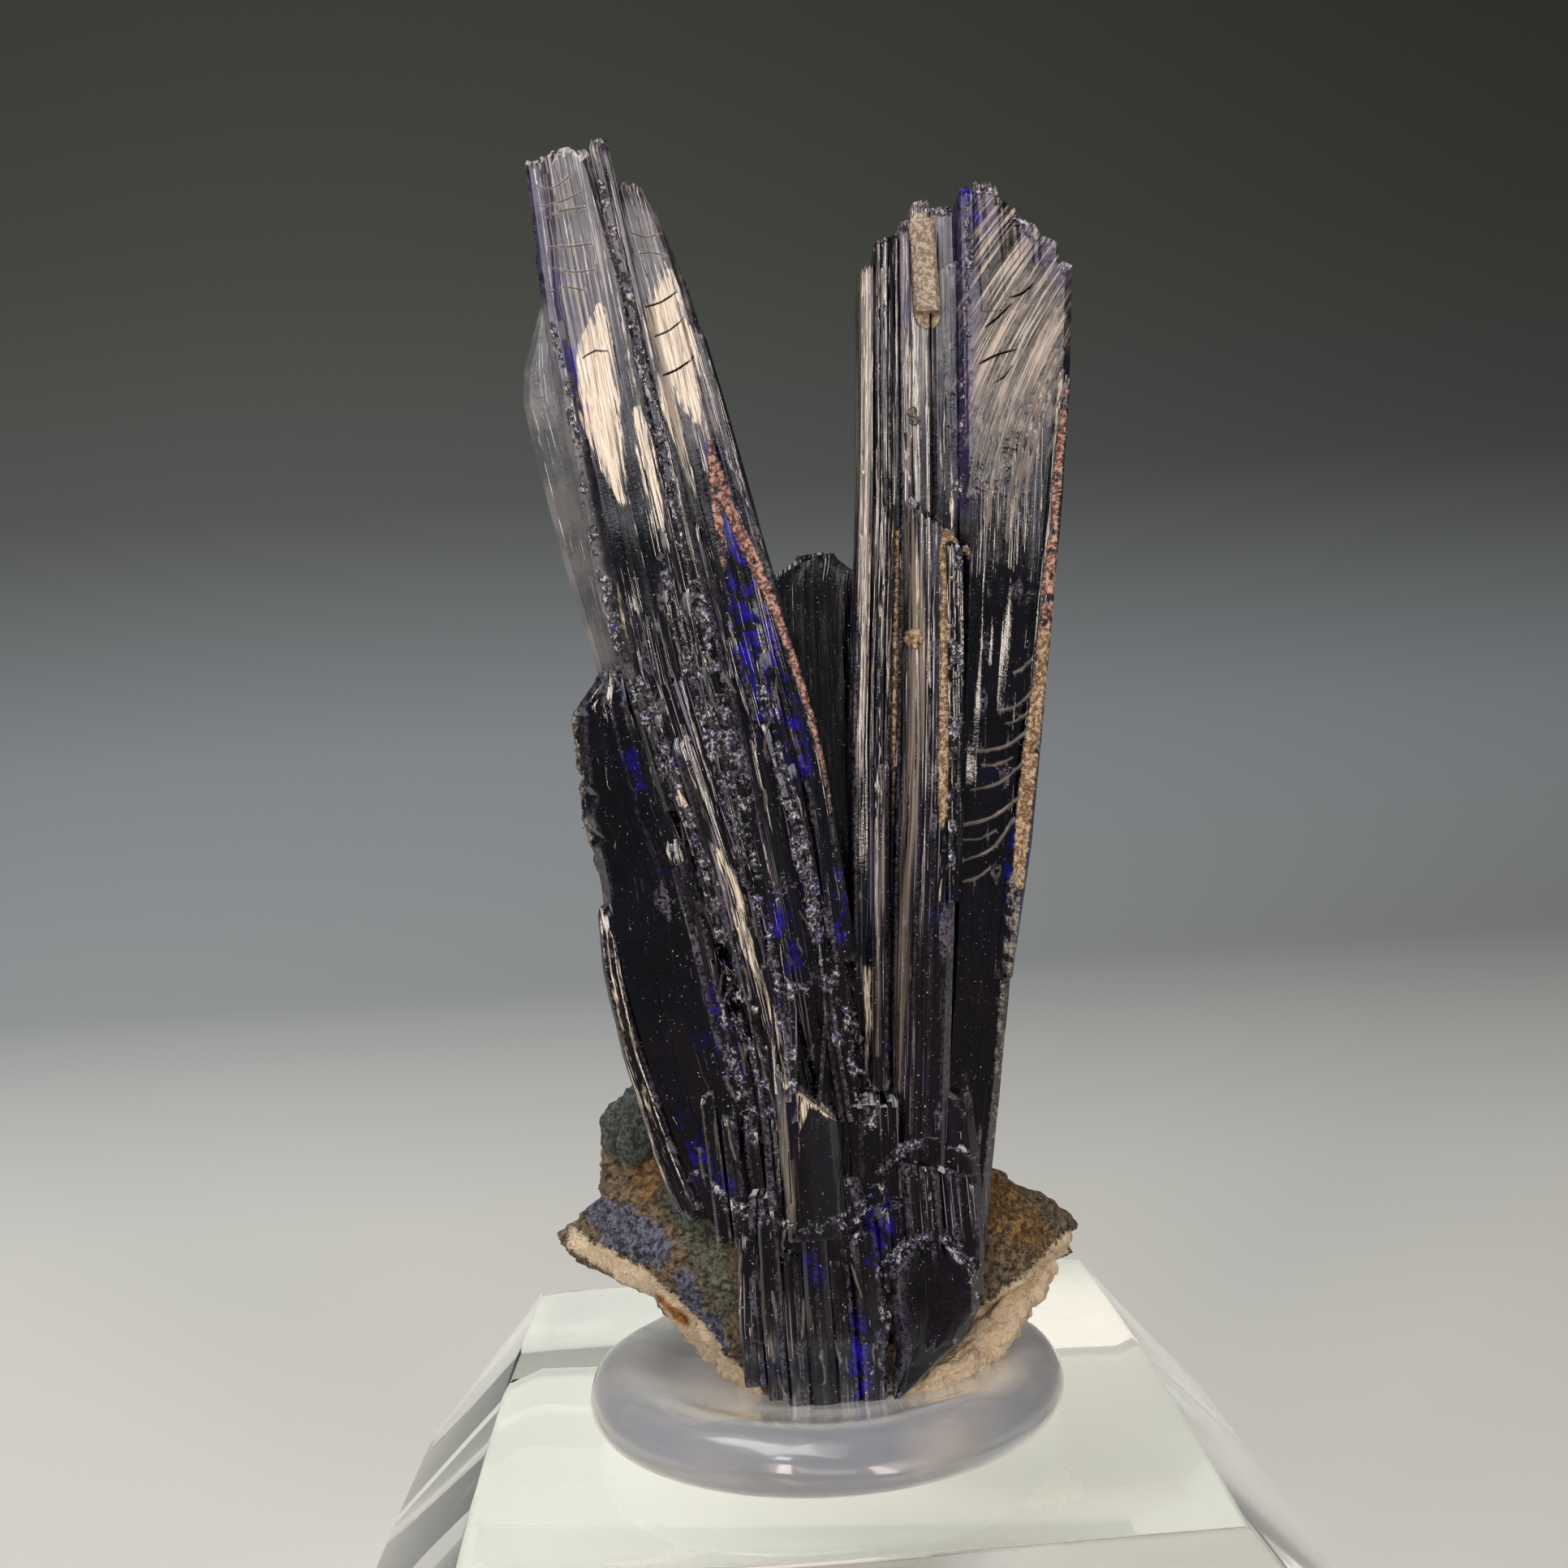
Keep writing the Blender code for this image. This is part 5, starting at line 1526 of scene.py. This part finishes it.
class RockSettings(bpy.types.PropertyGroup):
    """Colours of the rock."""

    brown: tint("Brown", "Light tone of the rock's grain", "#a88f6e")
    # The rim's light tone is painted brighter than its own tan, a painted light on its downward faces.
    rim: tint("Rim", "Light tone of the broken rim", "#ffe9c8")


class TackSettings(bpy.types.PropertyGroup):
    """Colour and dents of the putty disc."""

    milk: tint("Milk", "The putty's milky cast", "#c8ccd4")
    dent: length("Dents", "How deep the putty's soft dents are", 0.22)


class BlockSettings(bpy.types.PropertyGroup):
    """Sizes and tint of the clear block."""

    half: length("Half width", "Half the block's width", 19.0)
    top_half: length("Half top", "Half the width of the block's top face", 13.0)
    top_depth: length("Half top depth", "Half the depth of the block's top face", 15.6)
    top_middle: length("Top middle", "How far back the middle of the top face lies", 1.9)
    height: length("Height", "The block's height", 18.0)
    shoulder: length("Shoulder", "Height at which the flaring facets begin", 10.7)
    chamfer: length("Chamfer", "Chamfer round the block's foot", 0.5)
    bow: length("Bow", "How far each side swells in its middle", 0.25)
    bevel: length("Bevel", "Width of the polished edges", 0.16)
    tint: tint("Tint", "The acrylic's own tint", "#f6f9f5")


class StageSettings(bpy.types.PropertyGroup):
    """Colour and strength of the stage."""

    floor: tint("Floor", "The pale paper under the block", "#e9e9e4")
    key_power: FloatProperty(
        name="Key light", description="Power of the left key light", default=1.1, min=0.0, unit="POWER",
    )


class AZURITE_OT_crystals(bpy.types.Operator):
    """Build the azurite crystals with their needles, seams of druse and crusts"""

    bl_idname = "azurite.crystals"
    bl_label = "Azurite Crystals"
    bl_options = {"REGISTER", "UNDO"}

    def execute(self, context):
        settings = context.scene.azurite_crystals
        rng = random.Random(settings.grain_seed)
        made = azurite_material(settings)
        step = settings.row_spacing / MM
        body = fuse_all([
            crystal_object(row, STYLE_OF.get(row[0], "ribbed"), step, made) for row in CRYSTALS
        ])
        needles = needle_rows(surface_tree(body), rng)
        body = join(body, fuse_all([crystal_object(row, "ribbed", 2.0 * step, made) for row in needles]))
        tree = surface_tree(body)
        ridges = RIDGES + tuple(fan_ridges(rng))
        taken = [spot for _, _, points in ridges for spot in curve_points(points)]
        ridges += tuple(hairlines(rng, taken))
        ridge_bars = bars_object("ridges", tree, ridges, True, made)
        crack_bars = bars_object("cracks", tree, CRACKS, False, made)
        body = join(join(body, ridge_bars), crack_bars, "DIFFERENCE")
        tree = surface_tree(body)
        grains = scatter_grains(tree, FRONT_STROKES, -1, rng) + scatter_grains(tree, BACK_STROKES, 1, rng)
        for item in grain_objects(grains, rng, made):
            body = join(body, item)
        body.name = "azurite_crystals_visual"
        front = {**FRONT_STROKES, "ridge": bar_strokes(ridges), "crack": bar_strokes(CRACKS)}
        lay_finishes_and_painted_light(body, front, BACK_STROKES)
        shade(body, 24)
        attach(body, "root")
        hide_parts("azurite_crystals")
        return {"FINISHED"}


class AZURITE_OT_rock(bpy.types.Operator):
    """Build the iron-stained rock that the crystals grow from"""

    bl_idname = "azurite.rock"
    bl_label = "Rock"
    bl_options = {"REGISTER", "UNDO"}

    def execute(self, context):
        made = rock_material(context.scene.azurite_rock)
        body = join(object_from("rock", rock_mesh(), made), object_from("knob", knob_mesh(), made))
        body = join(body, object_from("lip", lip_mesh(), made))
        body.name = "matrix_visual"
        lay_finishes_and_painted_light(body, ROCK_STROKES, ROCK_BACK_STROKES)
        shade(body, 50)
        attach(body, "root")
        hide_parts("matrix")
        return {"FINISHED"}


class AZURITE_OT_tack(bpy.types.Operator):
    """Build the putty disc, turned from its profile and softly dented"""

    bl_idname = "azurite.tack"
    bl_label = "Mineral Tack"
    bl_options = {"REGISTER", "UNDO"}

    def execute(self, context):
        settings = context.scene.azurite_tack
        mesh = bpy.data.meshes.new("mineral_tack_visual")
        mesh.from_pydata([(radius * MM, 0.0, z * MM) for radius, z in TACK_PROFILE],
                         [(i, i + 1) for i in range(len(TACK_PROFILE) - 1)], [])
        item = bpy.data.objects.new("mineral_tack_visual", mesh)
        context.scene.collection.objects.link(item)
        turn = item.modifiers.new("turn", "SCREW")
        turn.steps = TACK_STEPS
        turn.render_steps = TACK_STEPS
        turn.use_merge_vertices = True
        turn.merge_threshold = 0.00001
        turn.use_normal_calculate = True
        soft = item.modifiers.new("soft", "SUBSURF")
        soft.levels = 2
        soft.render_levels = 2
        apply_step(item, turn)
        apply_step(item, soft)
        for vert in item.data.vertices:
            x, y, z = vert.co / MM
            if z > DENTS_FROM:
                dent = noise.noise(Vector((x, y, 0.0)) * DENTS_PER_MM)
                z += settings.dent / MM * dent * min(1.0, (z - DENTS_FROM) / DENTS_OVER)
            vert.co = Vector((x + TACK_CENTRE[0], TACK_STRETCH * y + TACK_CENTRE[1], z)) * MM
        item.data.materials.append(putty_material(settings))
        item.data.shade_smooth()
        # Light reaches what lies under the clear disc.
        item.visible_shadow = False
        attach(item, "root")
        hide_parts("mineral_tack")
        return {"FINISHED"}


class AZURITE_OT_block(bpy.types.Operator):
    """Build the clear block with its flaring facets and polished edges"""

    bl_idname = "azurite.block"
    bl_label = "Display Block"
    bl_options = {"REGISTER", "UNDO"}

    def execute(self, context):
        settings = context.scene.azurite_block
        half = settings.half / MM
        bow = settings.bow / MM
        bm = bmesh.new()
        foot = half - settings.chamfer / MM
        levels = (
            (settings.top_half / MM, settings.top_depth / MM, settings.top_middle / MM, settings.height / MM),
            (half, half, 0.0, settings.shoulder / MM),
            (half, half, 0.0, settings.chamfer / MM),
            (foot, foot, 0.0, 0.0),
        )
        skin(bm, [[bm.verts.new(point) for point in block_ring(*level, bow)] for level in levels])
        bmesh.ops.recalc_face_normals(bm, faces=bm.faces)
        item = object_from("acrylic_base_visual", bm, acrylic_material(settings))
        polish = item.modifiers.new("polished edges", "BEVEL")
        polish.width = settings.bevel
        polish.segments = 3
        polish.limit_method = "ANGLE"
        polish.angle_limit = math.radians(20)
        apply_step(item, polish)
        shade(item, 25)
        # Light reaches the floor through the clear block.
        item.visible_shadow = False
        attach(item, "root")
        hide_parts("acrylic_base")
        return {"FINISHED"}


class AZURITE_OT_stage(bpy.types.Operator):
    """Set up the paper sweep, the soft lights and the camera"""

    bl_idname = "azurite.stage"
    bl_label = "Stage"
    bl_options = {"REGISTER", "UNDO"}

    def execute(self, context):
        settings = context.scene.azurite_stage
        bm = bmesh.new()
        profile = [(SWEEP_FRONT, SWEEP_LEVEL), (SWEEP_BACK, SWEEP_LEVEL)]
        for i in range(1, SWEEP_BEND_STEPS + 1):
            angle = math.radians(90.0 * i / SWEEP_BEND_STEPS)
            rise = SWEEP_BEND * (1.0 - math.cos(angle)) + SWEEP_LEVEL
            profile.append((SWEEP_BACK + SWEEP_BEND * math.sin(angle), rise))
        profile.append((SWEEP_BACK + SWEEP_BEND, SWEEP_TOP))
        left = [bm.verts.new((-SWEEP_HALF, y, z)) for y, z in profile]
        right = [bm.verts.new((SWEEP_HALF, y, z)) for y, z in profile]
        for i in range(len(profile) - 1):
            bm.faces.new((left[i], right[i], right[i + 1], left[i + 1]))
        floor = object_from("stage_sweep", bm, sweep_material(settings))
        floor.data.shade_smooth()

        aim = (0.001, 0.0, 0.045)
        area_light("key_left", (-0.26, -0.52, 0.2), aim, 0.1, 0.34, settings.key_power, "#ffefe0")
        area_light("key_right", (0.28, -0.5, 0.2), aim, 0.08, 0.34, 0.75 * settings.key_power, "#ffefe0")
        area_light("front_high", (-0.02, -0.6, 0.24), aim, 0.34, 0.2, 0.45, "#e6e6ee")
        area_light("kicker", (-0.2, -0.3, 0.5), aim, 0.12, 0.12, 0.35, "#f4f6ff")
        overhead = area_light("top", (-0.12, 0.05, 0.6), (-0.05, 0.05, 0.0), 0.5, 0.4, 2.25, "#fafaf8")
        # Seen through the block, the light would be a hard white patch; a dim card shows in its place.
        overhead.visible_transmission = False
        bm = bmesh.new()
        bmesh.ops.create_grid(bm, x_segments=1, y_segments=1, size=220.0)
        card = object_from("stage_card", bm, card_material())
        card.location = (-0.12, 0.06, 0.62)

        world = bpy.data.worlds.new("studio")
        context.scene.world = world
        world.use_nodes = True
        sky = world.node_tree.nodes["Background"]
        feed(world.node_tree, sky, {"Color": linear("#8c9096"), "Strength": 0.3})
        place_camera()
        context.scene.view_settings.view_transform = "Standard"
        return {"FINISHED"}


class AZURITE_PT_panel(bpy.types.Panel):
    """Lists the pieces, their settings and the stage"""

    bl_idname = "AZURITE_PT_panel"
    bl_label = "Azurite Cluster"
    bl_space_type = "VIEW_3D"
    bl_region_type = "UI"
    bl_category = "Azurite"

    def draw(self, context):
        for operator, group_name, group in PIECES:
            box = self.layout.box()
            box.operator(operator.bl_idname)
            settings = getattr(context.scene, group_name)
            for key in group.__annotations__:
                box.prop(settings, key)


PIECES = (
    (AZURITE_OT_crystals, "azurite_crystals", AzuriteSettings),
    (AZURITE_OT_rock, "azurite_rock", RockSettings),
    (AZURITE_OT_tack, "azurite_tack", TackSettings),
    (AZURITE_OT_block, "azurite_block", BlockSettings),
    (AZURITE_OT_stage, "azurite_stage", StageSettings),
)


def register():
    """Register the settings, the operators and the panel."""
    for operator, group_name, group in PIECES:
        bpy.utils.register_class(group)
        bpy.utils.register_class(operator)
        setattr(bpy.types.Scene, group_name, PointerProperty(type=group))
    bpy.utils.register_class(AZURITE_PT_panel)


def unregister():
    """Take everything away again, in reverse."""
    bpy.utils.unregister_class(AZURITE_PT_panel)
    for operator, group_name, group in reversed(PIECES):
        delattr(bpy.types.Scene, group_name)
        bpy.utils.unregister_class(operator)
        bpy.utils.unregister_class(group)


def main():
    """Build every piece and the stage in order."""
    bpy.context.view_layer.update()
    register()
    bpy.ops.azurite.crystals()
    bpy.ops.azurite.rock()
    bpy.ops.azurite.tack()
    bpy.ops.azurite.block()
    bpy.ops.azurite.stage()


if __name__ == "__main__":
    main()
